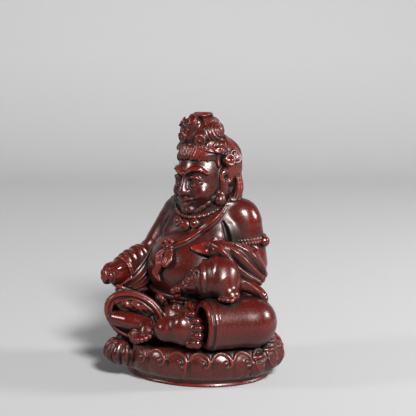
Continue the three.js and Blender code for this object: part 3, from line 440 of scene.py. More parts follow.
def lotus_bud():
    clay = Clay("lotus_bud", "base", FINE)
    core = Ball(base_place(-36, SEAT * 0.66, -1.86), 6.45, 5.7, 4.7)
    left = Ball(core.centre + place(-3.84, 0.62, -0.3), 3.8, 3.8, 3.8)
    right = Ball(core.centre + place(3.1, -2.6, 0.5), 3.05, 3.05, 3.05)
    clay.add(core.form(-0.3)).add(left.form(-0.3), 1.2).add(right.form(-0.2), 0.9)
    for azimuth in (-84, -56, -28, 0, 28):
        petal = [core.at(azimuth, -44, -0.2), core.at(azimuth + 2, -6, 0.25), core.at(azimuth + 6, 34, 0.1),
                 core.at(azimuth + 10, 58, -0.4)]
        clay.add(limb(petal, [0.9, 1.5, 1.25, 0.6]), 0.35)
    for azimuth in (-70, -42, -14, 14):
        clay.add(oval(core.at(azimuth + 6, 46, 0.1), 1.2, 1.2, 1.0), 0.3)
    way = unit(place(-0.5, -1, 0.2))
    clay.add(arc(left.at(-40, 8, 0.3), way, 1.7, 0.4, 0, 500, growth=-1.3), 0.2)
    clay.add(arc(right.at(0, 12, 0.2), (0.2, -1, 0.3), 1.4, 0.4, 0, 420, growth=-1), 0.2)


# Legs: folded trousers that rest on the seat, each ending in a wide double hem
LEG_RADIUS = 8.0
LEG_AXIS = SEAT + LEG_RADIUS
SIGN = {"left": 1, "right": -1}
KNEE = {"left": place(24.5, -6.5, 20.5), "right": place(-24.5, -6.5, 19.3)}
SHIN_WAY = {"left": place(-0.62, -0.78, 0), "right": place(0.64, -0.77, 0)}
SHIN_LENGTH = {"left": 14.0, "right": 16.4}
CUFF = {side: KNEE[side] + SHIN_WAY[side] * SHIN_LENGTH[side] for side in SIGN}
for cuff in CUFF.values():
    cuff[2] = LEG_AXIS
MOUTH_WAY = {"left": unit(SHIN_WAY["left"]), "right": unit(place(0.36, -0.93, 0))}
MOUTH_HALF = {"left": 6.9, "right": 8.9}
MOUTH_SAG = {"left": 0.0, "right": 0.2}
HEM_RADIUS = 6.92


def mouth_place(side, angle, share=1.0, out=0.0):
    """A place round a trouser's mouth: angle 0 is its inner end, and 90 its top."""
    level = unit(np.cross(place(0, 0, 1), MOUTH_WAY[side]))
    turn = math.radians(angle)
    reach = MOUTH_HALF[side] * math.cos(turn) * share
    centre = CUFF[side] + level * ((MOUTH_HALF[side] - HEM_RADIUS) * 0.7 + reach) + MOUTH_WAY[side] * out
    return centre + place(0, 0, HEM_RADIUS * math.sin(turn) * share - reach * MOUTH_SAG[side])


def seat_plane(clay):
    clay.cut(block((-60, -60, -10), (60, 60, SEAT - 0.06)))


def leg(side):
    clay = Clay(f"leg_{side}", "cloth", COARSE)
    knee, cuff, way = KNEE[side], CUFF[side], SHIN_WAY[side]
    girth = knee[2] - SEAT
    hip = place(SIGN[side] * 10.92, 5.6, knee[2])
    clay.add(limb([hip, knee], [girth * 1.04, girth * 0.97]))
    clay.add(limb([knee, cuff + way * LEG_RADIUS], [girth * 0.97, LEG_RADIUS * 0.98]), 1.5)
    if side == "right":
        for angle in (0, 180):
            clay.add(limb([knee, mouth_place(side, angle, 0.28) + way * LEG_RADIUS], [girth * 0.97, LEG_RADIUS * 0.9]), 1.0)
    else:
        clay.add(limb([knee + place(-0.6, 0, 0.5), cuff + way * LEG_RADIUS + place(0, 0, 0.8)], [7.9, 7.9]), 1.0)
    clay.cut(beyond(cuff, MOUTH_WAY[side]), 0.2)
    if side == "right":
        for angle in (0, 180):
            inner = [mouth_place(side, angle, 0.34, depth) for depth in (2, -1.5, -4)]
            clay.cut(limb(inner, [5.9, 5.7, 4.6]), 0.8)
    seat_plane(clay)


def hem(side):
    clay = Clay(f"trouser_hem_{side}", "cloth", FINE)
    lift = place(0, 0, 0.4 if side == "left" else 0)
    rolls = ((1.02, -0.1, 1.3), (1.03, 0.9, 1.15), (0.99, 1.9, 0.9), (0.9, 2.3, 0.6))
    if side == "right":
        rolls = ((1.05, -0.2, 1.1), (1.08, 0.7, 0.85), (1.05, 1.5, 0.7), (0.9, 0.9, 0.55))
    for share, out, radius in rolls:
        loop = [mouth_place(side, angle, share, out) + lift for angle in range(-180, 181, 12)]
        clay.add(limb(loop, radius, smooth=False), 0.5)
    edge = [mouth_place(side, angle, 1.16, 1.35) + lift for angle in range(-180, 181, 12)]
    clay.cut(limb(edge, 0.34, smooth=False), 0.25)
    seat_plane(clay)


def trouser_lining():
    clay = Clay("trouser_lining_right", "cloth", FINE)
    for rise, reach, radius in ((36, 0.8, 1.1), (30, 0.66, 1.2), (22, 0.52, 1.2), (12, 0.38, 1.1)):
        points = [mouth_place("right", 180 - rise + (2 * rise - 180) * step / 12,
                              reach + 0.02 * math.sin(step * 1.6 + reach * 20), 0.1) for step in range(13)]
        clay.add(limb(points, radius), 0.5)
    for reach, depth, start, end, wave in ((0.8, 0.9, 158, 18, 0.012), (0.62, 0.5, 140, 40, 0.03)):
        lip = [mouth_place("right", start + (end - start) * step / 12, reach + wave * math.sin(step * 1.3), depth)
               for step in range(13)]
        clay.add(limb(clay.onto(lip, 0.1), [0.3] + [0.55] * 11 + [0.3]), 0.35)
    for angle, reach in ((112, 0.7), (84, 0.72), (58, 0.66)):
        fold = [mouth_place("right", angle + 9 * math.sin(step * 1.4), reach - 0.09 * step, 0.9) for step in range(6)]
        clay.add(limb(clay.onto(fold, 0.1), [0.3, 0.5, 0.55, 0.5, 0.4, 0.3]), 0.5)


# Feet: the left shows its sole, and the right turns down beside a conch shell
def foot_form(clay, heel, along, sole, length):
    half = 5.5 * length / 12.4
    toes = heel + along * length * 0.52
    across = unit(np.cross(along, sole))
    middle = between(heel, toes, 0.45)
    front = toes - along * half * 0.22
    clay.add(limb([heel, middle, front], [half * 0.72, half * 0.78, half * 0.98], 0.6, sole))
    clay.add(sphere(heel + sole * half * 0.08, half * 0.5), 1.4)
    clay.add(oval(front + sole * half * 0.2, half * 0.5, half * 0.5, half * 0.8), 1.6)
    for toe in range(5):
        share = toe / 4 - 0.5
        radius = half * (0.3, 0.26, 0.25, 0.24, 0.23)[toe]
        root = toes - across * share * half * 1.7 + along * half * (0.5 - share * share) + sole * half * 0.22
        tip = root + along * half * (0.46, 0.44, 0.42, 0.38, 0.32)[toe]
        clay.add(limb([root, tip], [radius * 0.9, radius * 0.98]), 0.08)
        clay.add(sphere(tip + sole * radius * 0.25, radius), 0.1)


def foot_left():
    clay = Clay("foot_left", "skin", FINE * 0.85)
    sole = unit(place(0.3, -0.94, 0.1))
    way = unit(place(0.94, 0.3, 0.1))
    foot_form(clay, CUFF["left"] + place(-12.65, -6.57, -1.52), way, sole, 12.4)
    seat_plane(clay)


SHIN_START = mouth_place("right", 205, 0.76, 0.8)
ANKLE = mouth_place("right", -22, 0.56, 3.36)


def foot_right():
    clay = Clay("foot_right", "skin", FINE * 0.9)
    way = unit(place(0.52, -0.7, -0.48))
    foot_form(clay, ANKLE, way, unit(place(-0.2, -0.5, 0.84)), 7.7)
    clay.add(limb([SHIN_START, between(SHIN_START, ANKLE, 0.55) + place(0, -0.5, 0.3), ANKLE], [2.7, 3.1, 2.5]), 1.0)
    seat_plane(clay)


def conch_shell():
    clay = Clay("conch_shell", "ornament", FINE * 0.8)
    middle = ANKLE + place(-2.2, -3.2, -3)
    clay.add(oval(middle, 2.75, 1.6, 2.1))
    way = unit(place(-0.1, -1, 0.15))
    for radius, depth in ((2.2, 0.55), (1.6, 1.0), (0.95, 1.35)):
        clay.add(arc(middle + way * depth + place(0.2, 0, -0.15) * depth, way, radius, 0.3), 0.12)
    clay.add(sphere(middle + way * 1.3 + place(0.4, 0, -0.2), 0.5), 0.15)
    clay.add(limb([middle + place(1.6, -0.6, 1.3), middle + place(2.6, -0.2, 2.0)], [0.8, 0.4]), 0.3)
    seat_plane(clay)


# Trunk: hips, belly, chest and shoulders
HIPS = Ball((0, 4, 20.5), 19.5, 14, 10.4)
BELLY = Ball((0, 1, 35), 18, 16.5, 14)
CHEST = Ball((0, 5, 47), 16, 11, 11)
SHOULDERS = Ball((0, 7, 54), 17, 8, 5.6)
HEAD = place(0, 4.82, 65.0)
BREASTS = [Ball(CHEST.at(30 * sign, -8, -3.35), 6.2, 4.34, 4.46) for sign in (1, -1)]


def trunk():
    clay = Clay("trunk", "skin", MIDDLE)
    clay.add(HIPS.form()).add(BELLY.form(), 2.0).add(CHEST.form(), 2.2).add(SHOULDERS.form(), 2.4)
    clay.add(limb([SHOULDERS.centre, HEAD], [6.4, 6]), 2.4)
    for breast, sign in zip(BREASTS, (1, -1)):
        clay.add(breast.form(), 1.0)
        tip = breast.at(26 * sign, -6, 0.0)
        clay.add(sphere(tip, 0.75), 0.6)
        fold = [breast.at(-70 * sign, -30, 0.2), breast.at(0, -62, 0.3), breast.at(70 * sign, -36, 0.2)]
        clay.cut(limb(fold, [0.4, 0.55, 0.4]), 0.9)
        crease = [(2.9, 0.3, 6.2), (4, -0.1, 4.7), (4.7, -0.2, 3.3), (5.2, -0.4, 1.8), (5.7, -0.4, 0), (6, 0, -2)]
        clay.cut(limb([breast.centre + place(x * sign, y, z) for x, y, z in crease],
                      [0.2, 0.5, 0.8, 1, 1.1, 1.1]), 0.8)
        clay.add(limb([SHOULDERS.at(14 * sign, 16, 0.1), SHOULDERS.at(34 * sign, 26, 0.3),
                       SHOULDERS.at(62 * sign, 34, 0.1)], [0.9, 0.9, 0.5]), 1.6)
        blade = [SHOULDERS.at(180 - 40 * sign, -4, 0.2), CHEST.at(180 - 34 * sign, 8, 0.2)]
        clay.add(limb(blade, [1.8, 1.2]), 2.0)
    spine = [SHOULDERS.at(180, 10), CHEST.at(180, 6), BELLY.at(180, 14), HIPS.at(180, 14)]
    clay.cut(limb(spine, [0.6, 0.9, 0.9, 0.5]), 1.8)
    seat_plane(clay)
    clay.cut(limb([place(0, 0, SEAT - 2), place(0, 0, SEAT + 22)], 3.5))


# Head: a calm, broad face with full cheeks, in a frame of its own that turns and bows
HEAD_TURN = math.radians(-12.5)
HEAD_BOW = math.radians(3)
SKULL = Ball((0, 0, 0), 9.3, 10, 12.1)
JAW = Ball((0, -3.2, -5.32), 7.81, 6.8, 6.78)


def head_frame():
    turn = np.array([[math.cos(HEAD_TURN), -math.sin(HEAD_TURN), 0],
                     [math.sin(HEAD_TURN), math.cos(HEAD_TURN), 0], [0, 0, 1]])
    bow = np.array([[1, 0, 0], [0, math.cos(HEAD_BOW), -math.sin(HEAD_BOW)],
                    [0, math.sin(HEAD_BOW), math.cos(HEAD_BOW)]])
    matrix = np.eye(4)
    matrix[:3, :3] = turn @ bow
    matrix[:3, 3] = HEAD
    return matrix


HEAD_FRAME = head_frame()


def in_head(form):
    return form.placed(HEAD_FRAME)


def head_place(x, y, z):
    return HEAD_FRAME[:3, :3] @ place(x, y, z) + HEAD


def mirrored(points, sign):
    return [np.array(p, float) * place(sign, 1, 1) for p in points]


def face(clay):
    for sign in (1, -1):
        clay.cut(in_head(oval(place(3.7 * sign, -10.3, 0.5), 2.9, 1.5, 1.7)), 1.3)
        clay.add(in_head(sphere(place(3.75 * sign, -7.7, 0.1), 2.05)), 0.3)
        lid = mirrored([(1.5, -9.2, 0.0), (2.7, -9.8, 1.25), (4.6, -9.5, 1.35), (6.4, -7.9, 0.2)], sign)
        clay.add(in_head(limb(lid, [0.24, 0.46, 0.46, 0.26])), 0.25)
        low = mirrored([(1.8, -9.3, -0.5), (3.5, -9.7, -1.45), (6.2, -8.0, -0.5)], sign)
        clay.add(in_head(limb(low, [0.2, 0.38, 0.22])), 0.25)
        clay.cut(in_head(arc(place(3.55 * sign, -9.65, 0.1), (0.25 * sign, -1, 0), 0.72, 0.13)), 0.1)
        brow = [SKULL.at(turn * sign, rise, 0.3) for turn, rise in ((7, 12), (20, 18), (36, 18), (50, 11))]
        clay.add(in_head(limb(brow, [0.7, 0.9, 0.8, 0.4])), 0.7)
        for spot in range(8, 44, 4):
            rise = float(np.interp(spot, (7, 20, 36, 50), (12, 18, 18, 11)))
            hair = [SKULL.at((spot + 2.4 * i) * sign, rise + 1.8 * i, 0.95 - 0.2 * i) for i in (-1, 1)]
            clay.add(in_head(limb(hair, [0.24, 0.16])), 0.2)
        whisker = mirrored([(0.5, -10.8, -5.45), (2.2, -10.5, -5.75), (4.2, -9.5, -5.6), (5.6, -8.5, -4.5)], sign)
        clay.add(in_head(limb(whisker, [0.42, 0.5, 0.4, 0.16])), 0.2)
        clay.add(in_head(limb([p + place(0, -0.3, 0.35) for p in whisker], [0.2, 0.24, 0.2, 0.1])), 0.1)
        clay.add(in_head(oval(place(4.3 * sign, -6.8, -3.8), 3.3, 2.9, 3.0)), 1.5)
        clay.add(in_head(sphere(place(1.6 * sign, -10.1, -3.75), 1.15)), 0.6)
        clay.cut(in_head(sphere(place(0.85 * sign, -11.2, -4.75), 0.36)), 0.3)
        crease = mirrored([(2.6, -10.4, -3.6), (3.7, -10.1, -5.2), (4.1, -9.4, -6.9)], sign)
        clay.cut(in_head(limb(crease, [0.16, 0.3, 0.14])), 0.7)
    clay.add(in_head(limb([(0, -9.5, 2.2), (0, -10.3, -0.6), (0, -11.0, -3.2)], [0.8, 0.95, 1.5])), 1.0)
    clay.add(in_head(sphere(place(0, -11.1, -3.75), 1.35)), 0.5)
    upper = [(-3.5, -8.9, -6.1), (-1.4, -10.3, -6.35), (0, -10.45, -6.6), (1.4, -10.3, -6.35), (3.5, -8.9, -6.1)]
    lower = [(-2.9, -9.3, -6.9), (0, -10.3, -7.8), (2.9, -9.3, -6.9)]
    clay.add(in_head(limb(upper, [0.25, 0.62, 0.6, 0.62, 0.25])), 0.5)
    clay.add(in_head(limb(lower, [0.35, 0.85, 0.35])), 0.5)
    mouth = [(-3.6, -9.1, -6.2), (-1.4, -10.8, -6.95), (0, -10.95, -7.15), (1.4, -10.8, -6.95), (3.6, -9.1, -6.2)]
    clay.cut(in_head(limb(mouth, [0.14, 0.24, 0.26, 0.24, 0.14])), 0.3)
    clay.add(in_head(oval(place(0, -8.6, -9.9), 2.9, 2.2, 1.9)), 1.4)


def head():
    clay = Clay("head", "skin", FINE)
    clay.add(in_head(SKULL.form())).add(in_head(JAW.form()), 2.0)
    face(clay)


EAR_HALF = 4.3


def ear(side):
    sign = SIGN[side]
    clay = Clay(f"ear_{side}", "skin", FINE)
    middle = SKULL.at(84 * sign, 0, 0.4)
    lobe = middle + place(0, -0.6, -EAR_HALF * 1.1)
    clay.add(in_head(limb([middle + place(0, 0.6, EAR_HALF * 0.5), middle, lobe], [2.15, 1.9, 1.38], 0.7,
                          (sign, 0, 0))))
    rim = middle + place(sign * 0.85, 0, 0.8)
    clay.add(in_head(arc(rim, (sign, -0.3, 0), 1.9, 0.55, -150, 160)), 0.3)
    clay.cut(in_head(sphere(rim + place(sign * 0.5, -0.2, -0.1), 0.95)), 0.5)
    clay.add(in_head(limb([rim + place(0, -0.6, -1.4), lobe + place(sign * 0.4, 0, 0.6)], [0.6, 0.9])), 0.6)


def earring(side):
    sign = SIGN[side]
    clay = Clay(f"earring_{side}", "ornament", FINE)
    lobe = SKULL.at(84 * sign, 0, 0.4) + place(0, -0.6, -EAR_HALF * 1.1)
    drop = lobe + place(-sign * 0.2, -1.4, -2)
    clay.add(in_head(oval(drop, 1.84, 2.0, 2.2)))
    clay.add(in_head(limb([drop, lobe + place(0, -0.7, 0.4)], [1.5, 0.9])), 0.6)
    clay.add(in_head(arc(drop + place(0, 0.2, 1.35), (0, -0.3, 1), 1.25, 0.3)), 0.2)


# Hair: wavy strands over a cap, rolled lobes for the topknot, and ring curls beside them
HAIR = Ball((0, 1.33, 3.63), 11.2, 10.95, 11.34)
HAIRLINE = 8.23
HAIR_LOBES = [(82, 42), (104, 16)]
TOPKNOT = Ball((0, -0.35, 14.97), 7, 6.72, 5.88)


def strand(azimuth, top, bottom, wave, out=-0.1):
    points = []
    for step in range(9):
        share = step / 8
        lean = wave * math.sin(share * 9 + azimuth)
        points.append(HAIR.at(azimuth + lean, top + (bottom - top) * share, out))
    return limb(points, [0.4] + [0.52] * 7 + [0.36])


def hair_cap():
    clay = Clay("hair_cap", "cloth", FINE * 0.9)
    clay.add(in_head(HAIR.form(-0.35)))
    lobes = []
    for sign in (1, -1):
        for azimuth, elevation in HAIR_LOBES:
            ball = Ball(HAIR.at(sign * azimuth, elevation, -1.93), 3.5, 3.5, 3.5)
            lobes.append((ball, sign * (azimuth - 20), elevation + 6))
            clay.add(in_head(ball.form(-0.1)), 0.5)
        roll = [HAIR.at(sign * 140, rise, -1.4) for rise in (62, 24, -24)]
        clay.add(in_head(limb(roll, [2.1, 2.5, 2.1])), 0.6)
    clay.add(in_head(limb([HAIR.at(180, rise, -1.4) for rise in (58, 20, -10)], [2.1, 2.5, 2.1])), 0.6)
    strands = [strand(a, 66, -34, 2.4) for a in range(-176, 180, 6) if abs(a) > 70]
    clay.add(in_head(total(strands)), 0.25)
    for ball, azimuth, elevation in lobes:
        clay.add(in_head(lobe_rolls(ball, azimuth, elevation, 4, 0.26)), 0.25)
    clay.cut(in_head(block((-30, -30, -30), (30, -0.8, HAIRLINE))), 0.4)
    clay.add(in_head(limb([SKULL.at(a, 41 - abs(a) * 0.05, 0.2) for a in range(-77, 78, 14)], 1.1)), 0.5)
    clay.add(in_head(total([fringe_strand(a) for a in range(-84, 85, 7)])), 0.1)
    for sign in (1, -1):
        side_lock = [HAIR.at(72 * sign, 40, 0.1), SKULL.at(76 * sign, 34, 0.7), SKULL.at(74 * sign, 22, 0.75)]
        clay.add(in_head(limb(side_lock, [1.2, 1.1, 0.6])), 0.4)


def fringe_strand(azimuth):
    """A lock that rises from the forehead and sweeps back under the fillet."""
    lean = 11 * math.tanh(azimuth / 20)
    wave = 2.2 * math.sin(azimuth * 0.31)
    return limb([SKULL.at(azimuth * 0.94, 35.5 - abs(azimuth) * 0.05 + 0.5 * wave, 0.4),
                 SKULL.at(azimuth + 0.3 * lean, 40, 1.0), HAIR.at(azimuth + lean, 46 + wave, 0.6),
                 HAIR.at(azimuth + 2.4 * lean, 60, 0.4)], [0.42, 0.6, 0.66, 0.5])


def lobe_rolls(ball, azimuth, elevation, count, size=0.38):
    """Raised rings that make a round lobe look rolled."""
    way = ball.at(azimuth, elevation, 1) - ball.at(azimuth, elevation)
    rolls = []
    for step in range(1, count + 1):
        turn = math.radians(90 * step / (count + 0.4))
        centre = ball.centre + way * ball.radii[0] * math.cos(turn)
        rolls.append(arc(centre, way, ball.radii[0] * math.sin(turn), size))
    return total(rolls)


def topknot():
    clay = Clay("topknot", "cloth", FINE * 0.9)
    clay.add(in_head(TOPKNOT.form(-0.25)))
    lobes = [(78, 0, 3.78), (-78, 0, 3.78), (-12, -4, 3.5), (180, 0, 3.78)]
    for index, (azimuth, elevation, size) in enumerate(lobes):
        ball = Ball(TOPKNOT.at(azimuth, elevation, -2.24), size, size, size)
        clay.add(in_head(ball.form(-0.1)), 0.6)
        if index != 2:
            clay.add(in_head(lobe_rolls(ball, azimuth + (24 if index == 0 else -24), 22, 5, 0.24)), 0.25)
    for azimuth, elevation, size in ((-14, -6, 2.3), (34, -14, 2.5), (-62, -16, 2.1), (4, 40, 2.6), (-52, 30, 2.2)):
        middle = TOPKNOT.at(azimuth, elevation, 0.0)
        way = unit(TOPKNOT.at(azimuth, elevation, 1) - middle)
        clay.add(in_head(oval(middle - way * 0.7, size, size, size)), 0.5)
        clay.add(in_head(arc(middle + way * size * 0.6, way, size * 0.8, 0.36, 0, 520, growth=-size * 0.5)), 0.2)
        clay.add(in_head(sphere(middle + way * size * 0.66, size * 0.2)), 0.15)
    sweep = [TOPKNOT.at(-74, -20, 0.4), TOPKNOT.at(-30, -36, 0.9), TOPKNOT.at(10, -30, 1.0), TOPKNOT.at(50, -42, 0.8),
             TOPKNOT.at(84, -30, 0.4)]
    clay.add(in_head(limb(sweep, [0.7, 1.0, 1.1, 1.0, 0.7])), 0.4)
    for lift in (-0.55, 0.45):
        clay.add(in_head(limb([p + place(0, -0.7, lift) for p in sweep], [0.26, 0.32, 0.32, 0.32, 0.26])), 0.15)
    folds = [limb([TOPKNOT.at(a, 72, 0), TOPKNOT.at(a + 10, 46, 0.1), TOPKNOT.at(a + 24, 16, -0.1)],
                  0.3 + 0.08 * math.sin(a)) for a in range(40, 292, 12)]
    clay.add(in_head(total(folds)), 0.3)


def topknot_knob():
    clay = Clay("topknot_knob", "ornament", FINE * 0.85)
    centre = TOPKNOT.at(20, 84)
    clay.add(in_head(oval(centre, 3.1, 2.6, 0.95)))
    ribbon = [centre + place(-2.2, -0.9, 0.5), centre + place(-0.6, -0.2, 0.85), centre + place(1.4, 0.1, 0.8),
              centre + place(2.7, 0.5, 0.3)]
    clay.add(in_head(limb(ribbon, [0.5, 0.62, 0.62, 0.5])), 0.3)
    clay.add(in_head(limb([p + place(0.3, 1.3, -0.1) for p in ribbon], 0.5)), 0.3)
    clay.add(in_head(sphere(centre + place(-3.07, -1.02, -1), 1.55)), 0.4)
    clay.add(in_head(oval(centre + place(-0.8, -2.6, -0.9), 1.6, 0.8, 0.9)), 0.3)


CURLS = [(30, 52), (66, 36), (84, 14)]


def hair_curl(side, index):
    clay = Clay(f"hair_curl_{side}_{index + 1}", "cloth", FINE * 0.8)
    azimuth, elevation = CURLS[index]
    centre = HAIR.at(SIGN[side] * azimuth, elevation, 0.2)
    way = HAIR.at(SIGN[side] * azimuth, elevation, 1.2) - centre
    clay.add(in_head(oval(centre - way * 0.6, 2.1, 2.1, 1.5)))
    clay.add(in_head(arc(centre + way * 0.45, way, 1.7, 0.52)), 0.1)
    clay.add(in_head(sphere(centre + way * 0.7, 0.68)), 0.05)


def brow_fillet():
    clay = Clay("brow_fillet", "ornament", FINE * 0.9)
    route = [HAIR.at(a, 46 - abs(a) * 0.22, 0.1) for a in range(-60, 61, 12)]
    clay.add(in_head(limb(route, [0.8] + [1.0] * 9 + [0.8], 0.6, (0, -0.6, 0.5))))
    for lift in (-4.4, 4.4):
        border = [HAIR.at(a, 46 - abs(a) * 0.22 + lift, 0.4) for a in range(-60, 61, 12)]
        clay.add(in_head(limb(border, 0.3)), 0.2)
    clay.add(in_head(total([sphere(HAIR.at(a, 46 - abs(a) * 0.22, 0.65), 0.42) for a in range(-56, 57, 8)])), 0.12)


def hair_tress():
    clay = Clay("hair_tress", "cloth", MIDDLE)
    nape = HAIR.centre[1] + HAIR.radii[1] - 3.5
    route = [head_place(0, nape, HAIR.centre[2] - 2), head_place(0, nape, -6.7), SHOULDERS.at(180, 42)]
    clay.add(limb(route, [6.2, 6.5, 5.4], 0.45, (0, -1, 0)))
    locks = []
    for lane in range(-5, 6):
        path = curve(route, 8)
        points = [p + place(lane * 1.18 + 0.35 * math.sin(i * 1.3 + lane), 2.75 - 0.075 * lane * lane, 0)
                  for i, p in enumerate(path)]
        locks.append(limb(points, 0.62))
    clay.add(total(locks), 0.4)


def crown_ribbon(side):
    sign = SIGN[side]
    clay = Clay(f"crown_ribbon_{side}", "cloth", FINE)
    route = [head_place(sign * 10.8, 4, 0), head_place(sign * 11.4, 3.7, -4.2), head_place(sign * 11.3, 2.6, -7.2),
             SHOULDERS.at(66 * sign, 46, 0.4)]
    clay.add(limb(route, [1.3, 1.7, 2.0, 2.0], 0.42, (sign, 0, 0.8)))
    for step in (-1.1, 0, 1.1):
        clay.add(limb([p + place(0.5 * sign, step, 0.2) for p in route], [0.34, 0.42, 0.46, 0.3]), 0.3)


def beard():
    clay = Clay("beard", "cloth", FINE * 0.9)
    curls = []
    for side in (-1, 1):
        for step in range(7):
            share = side * (0.2 + step * 0.128)
            centre = place(share * 8.5, -10.0 * (0.86 - 0.62 * share * share), -12.1 * (0.93 - 0.61 * share * share))
            way = unit(centre * place(1, 1, 0.5))
            size = 0.8 + 0.8 * abs(share)
            curls.append(sphere(centre + way * 0.1, size))
            curls.append(arc(centre + way * (size * 0.7), way, size * 0.8, 0.32, 60 * step, 60 * step + 460,
                             growth=-size * 0.62))
    clay.add(in_head(total(curls)), 0.15)
    shares = (-1, -0.75, -0.4, 0, 0.4, 0.75, 1)
    roll = [place(s * 8.5, -8.6 + 6.2 * s * s, -11.25 + 7.38 * s * s) for s in shares]
    clay.add(in_head(limb(roll, [1.2, 1.15, 0.95, 0.85, 0.95, 1.15, 1.2])), 0.3)
    tuft = [limb([(x * 0.5, -10.2, -8.7), (x, -10.5, -9.8), (x * 0.7, -10.3, -11.2)], [0.32, 0.5, 0.28])
            for x in (-0.9, 0, 0.9)]
    clay.add(in_head(total(tuft)), 0.2)


# Mongoose: it stands on the left thigh and leans against the belly
RUMP = Ball((16.2, -12.6, 35.7), 7, 6.7, 7.2)
NAPE = RUMP.centre + place(-5.3, -2.4, -1.6)
SNOUT = NAPE + place(-5.4, -2.2, -2.2)
PAW = RUMP.centre + place(5.6, -2.8, -5.0)
THIGH_TOP = LEG_AXIS + LEG_RADIUS


def mongoose():
    clay = Clay("mongoose", "skin", FINE)
    clay.add(oval(RUMP.centre, 6.8, 6.5, 6.7))
    clay.add(oval(RUMP.centre + place(-1.6, -0.6, -1.4), 6.4, 5.9, 5.7), 1.5)
    clay.add(oval(RUMP.centre + place(2.0, 0, -2.4), 5.0, 5.2, 4.8), 1.5)
    clay.add(limb([RUMP.centre + place(-3.4, -1.5, -0.8), NAPE + place(-0.6, -0.2, 0)], [5.0, 4.1]), 1.6)
    clay.add(limb([NAPE + place(-1.2, -0.4, -0.2), between(NAPE, SNOUT, 0.6), SNOUT], [3.9, 2.9, 1.75]), 1.0)
    way = unit(NAPE - RUMP.centre)
    for back, raised in ((-0.6, 0.45), (1.8, 0.8), (4.2, 0.3)):
        tilt = unit(way + place(0, 0, 0.12 * back))
        ring = loop_round(NAPE - way * back, tilt, 4.4 + 0.2 * back)
        clay.add(limb(clay.onto(ring, 0.0), raised, smooth=False), 0.8)
    head = between(NAPE, SNOUT, 0.35)
    across = unit(np.cross(way, place(0, 0, 1)))
    for shift in (place(-2.2, -2.0, 2.6), place(0.4, -2.6, 2.9)):
        clay.add(oval(NAPE + shift, 1.4, 1.0, 1.5), 0.3)
        clay.cut(oval(NAPE + shift + place(-0.3, -0.95, 0), 0.65, 0.5, 0.85), 0.15)
    crown = [NAPE + place(-2.0, -1.8, 1.4), head + place(-1.6, -1.8, 2.0), SNOUT + place(0.2, -1.2, 1.3)]
    clay.add(limb(crown, [0.9, 0.8, 0.5]), 0.5)
    cheek = [NAPE + place(-1.2, -3.2, -1.4), head + place(-1.4, -3.0, -0.8), SNOUT + place(0.8, -1.6, 0.1)]
    clay.add(limb(cheek, [1.0, 0.9, 0.5]), 0.5)
    for sign in (-1, 1):
        eye = head + across * sign * 2.0 + place(-1.6, -1.3, 0.9)
        clay.add(sphere(eye, 0.8), 0.1).add(arc(eye, across * sign + place(-0.2, -0.2, 0.2), 1.05, 0.26), 0.1)
        clay.add(sphere(SNOUT + across * sign * 0.9 + place(0.9, -0.2, -0.5), 0.95), 0.5)
    clay.add(sphere(SNOUT + place(-1.1, -0.6, 0.5), 0.75), 0.3)
    clay.cut(limb([SNOUT + place(-1.6, -0.2, -0.8), SNOUT + place(0.8, -1.8, -0.9)], 0.3), 0.2)
    clay.add(oval(PAW, 3, 2.6, 2), 0.9)
    clay.add(limb([RUMP.centre + place(2.4, -2.6, -1.5), PAW + place(0, 0.3, 0.3)], [4.0, 2.3]), 1.6)
    for step in (-1.5, -0.5, 0.5, 1.5):
        root = PAW + place(step * 1.25, -1.2 + abs(step) * 0.2, -0.2)
        clay.add(limb([root, root + place(step * 0.15, -1.8, -0.8)], [0.85, 0.78]), 0.2)


def mongoose_tail():
    clay = Clay("mongoose_tail", "skin", FINE)
    route = [RUMP.centre + place(3.6, 3.4, -3.2), place(21.6, -6.6, 32.6), place(24.8, -4.8, 30.8),
             place(27.4, -4.0, 28.6), place(28.4, -5.0, 25.6)]
    clay.add(limb(route, [2.4, 2.3, 2.0, 1.5, 0.5]))
    for side in (-0.5, 0.5):
        clay.add(limb(clay.onto([p + place(side, -1.2, 1.0) for p in route[1:]], -0.05), [0.3, 0.3, 0.26, 0.16]), 0.4)


def mongoose_jewels():
    clay = Clay("mongoose_jewels", "ornament", FINE)
    for shift in (place(-1.6, -0.6, -0.8), place(-3.4, -0.4, -1.6), place(-2.6, 0.4, -2.8)):
        clay.add(sphere(SNOUT + shift, 1.45), 0.15)
        clay.add(arc(SNOUT + shift, (-0.3, -1, 0.2), 1.3, 0.28), 0.15)


# Arms and hands
SHOULDER = {"left": SHOULDERS.at(90, -38, -1.8), "right": SHOULDERS.at(-90, -44, -0.6)}
ELBOW = {"left": SHOULDER["left"] + unit(place(0.2, 0.06, -0.97)) * 15.6,
         "right": SHOULDER["right"] + unit(place(-0.47, -0.26, -0.85)) * 15.6}
FOREARM_WAY = {"left": unit(place(-0.085, -0.936, 0.34)), "right": unit(place(-0.25, -0.935, -0.25))}
WRIST = {"left": ELBOW["left"] + FOREARM_WAY["left"] * 18.8, "right": ELBOW["right"] + FOREARM_WAY["right"] * 16.2}
BEND = {"left": place(2.6, 0, 0), "right": place(-0.63, 0, 0.63)}
LEFT_HAND_WAY = unit(place(-0.96, -0.26, 0.04))
HELD_RADIUS = 3.1
HELD = WRIST["right"] + FOREARM_WAY["right"] * 0.9 * HELD_RADIUS


def upper_arm(side):
    clay = Clay(f"upper_arm_{side}", "skin", MIDDLE)
    middle = between(SHOULDER[side], ELBOW[side], 0.5)
    clay.add(limb([SHOULDER[side], middle, ELBOW[side]], [6, 6.12, 5.5]))
    clay.add(limb([between(SHOULDER[side], middle, 0.2) + place(SIGN[side] * 1.2, 0, 0), middle], [5.2, 4.6]), 1.2)


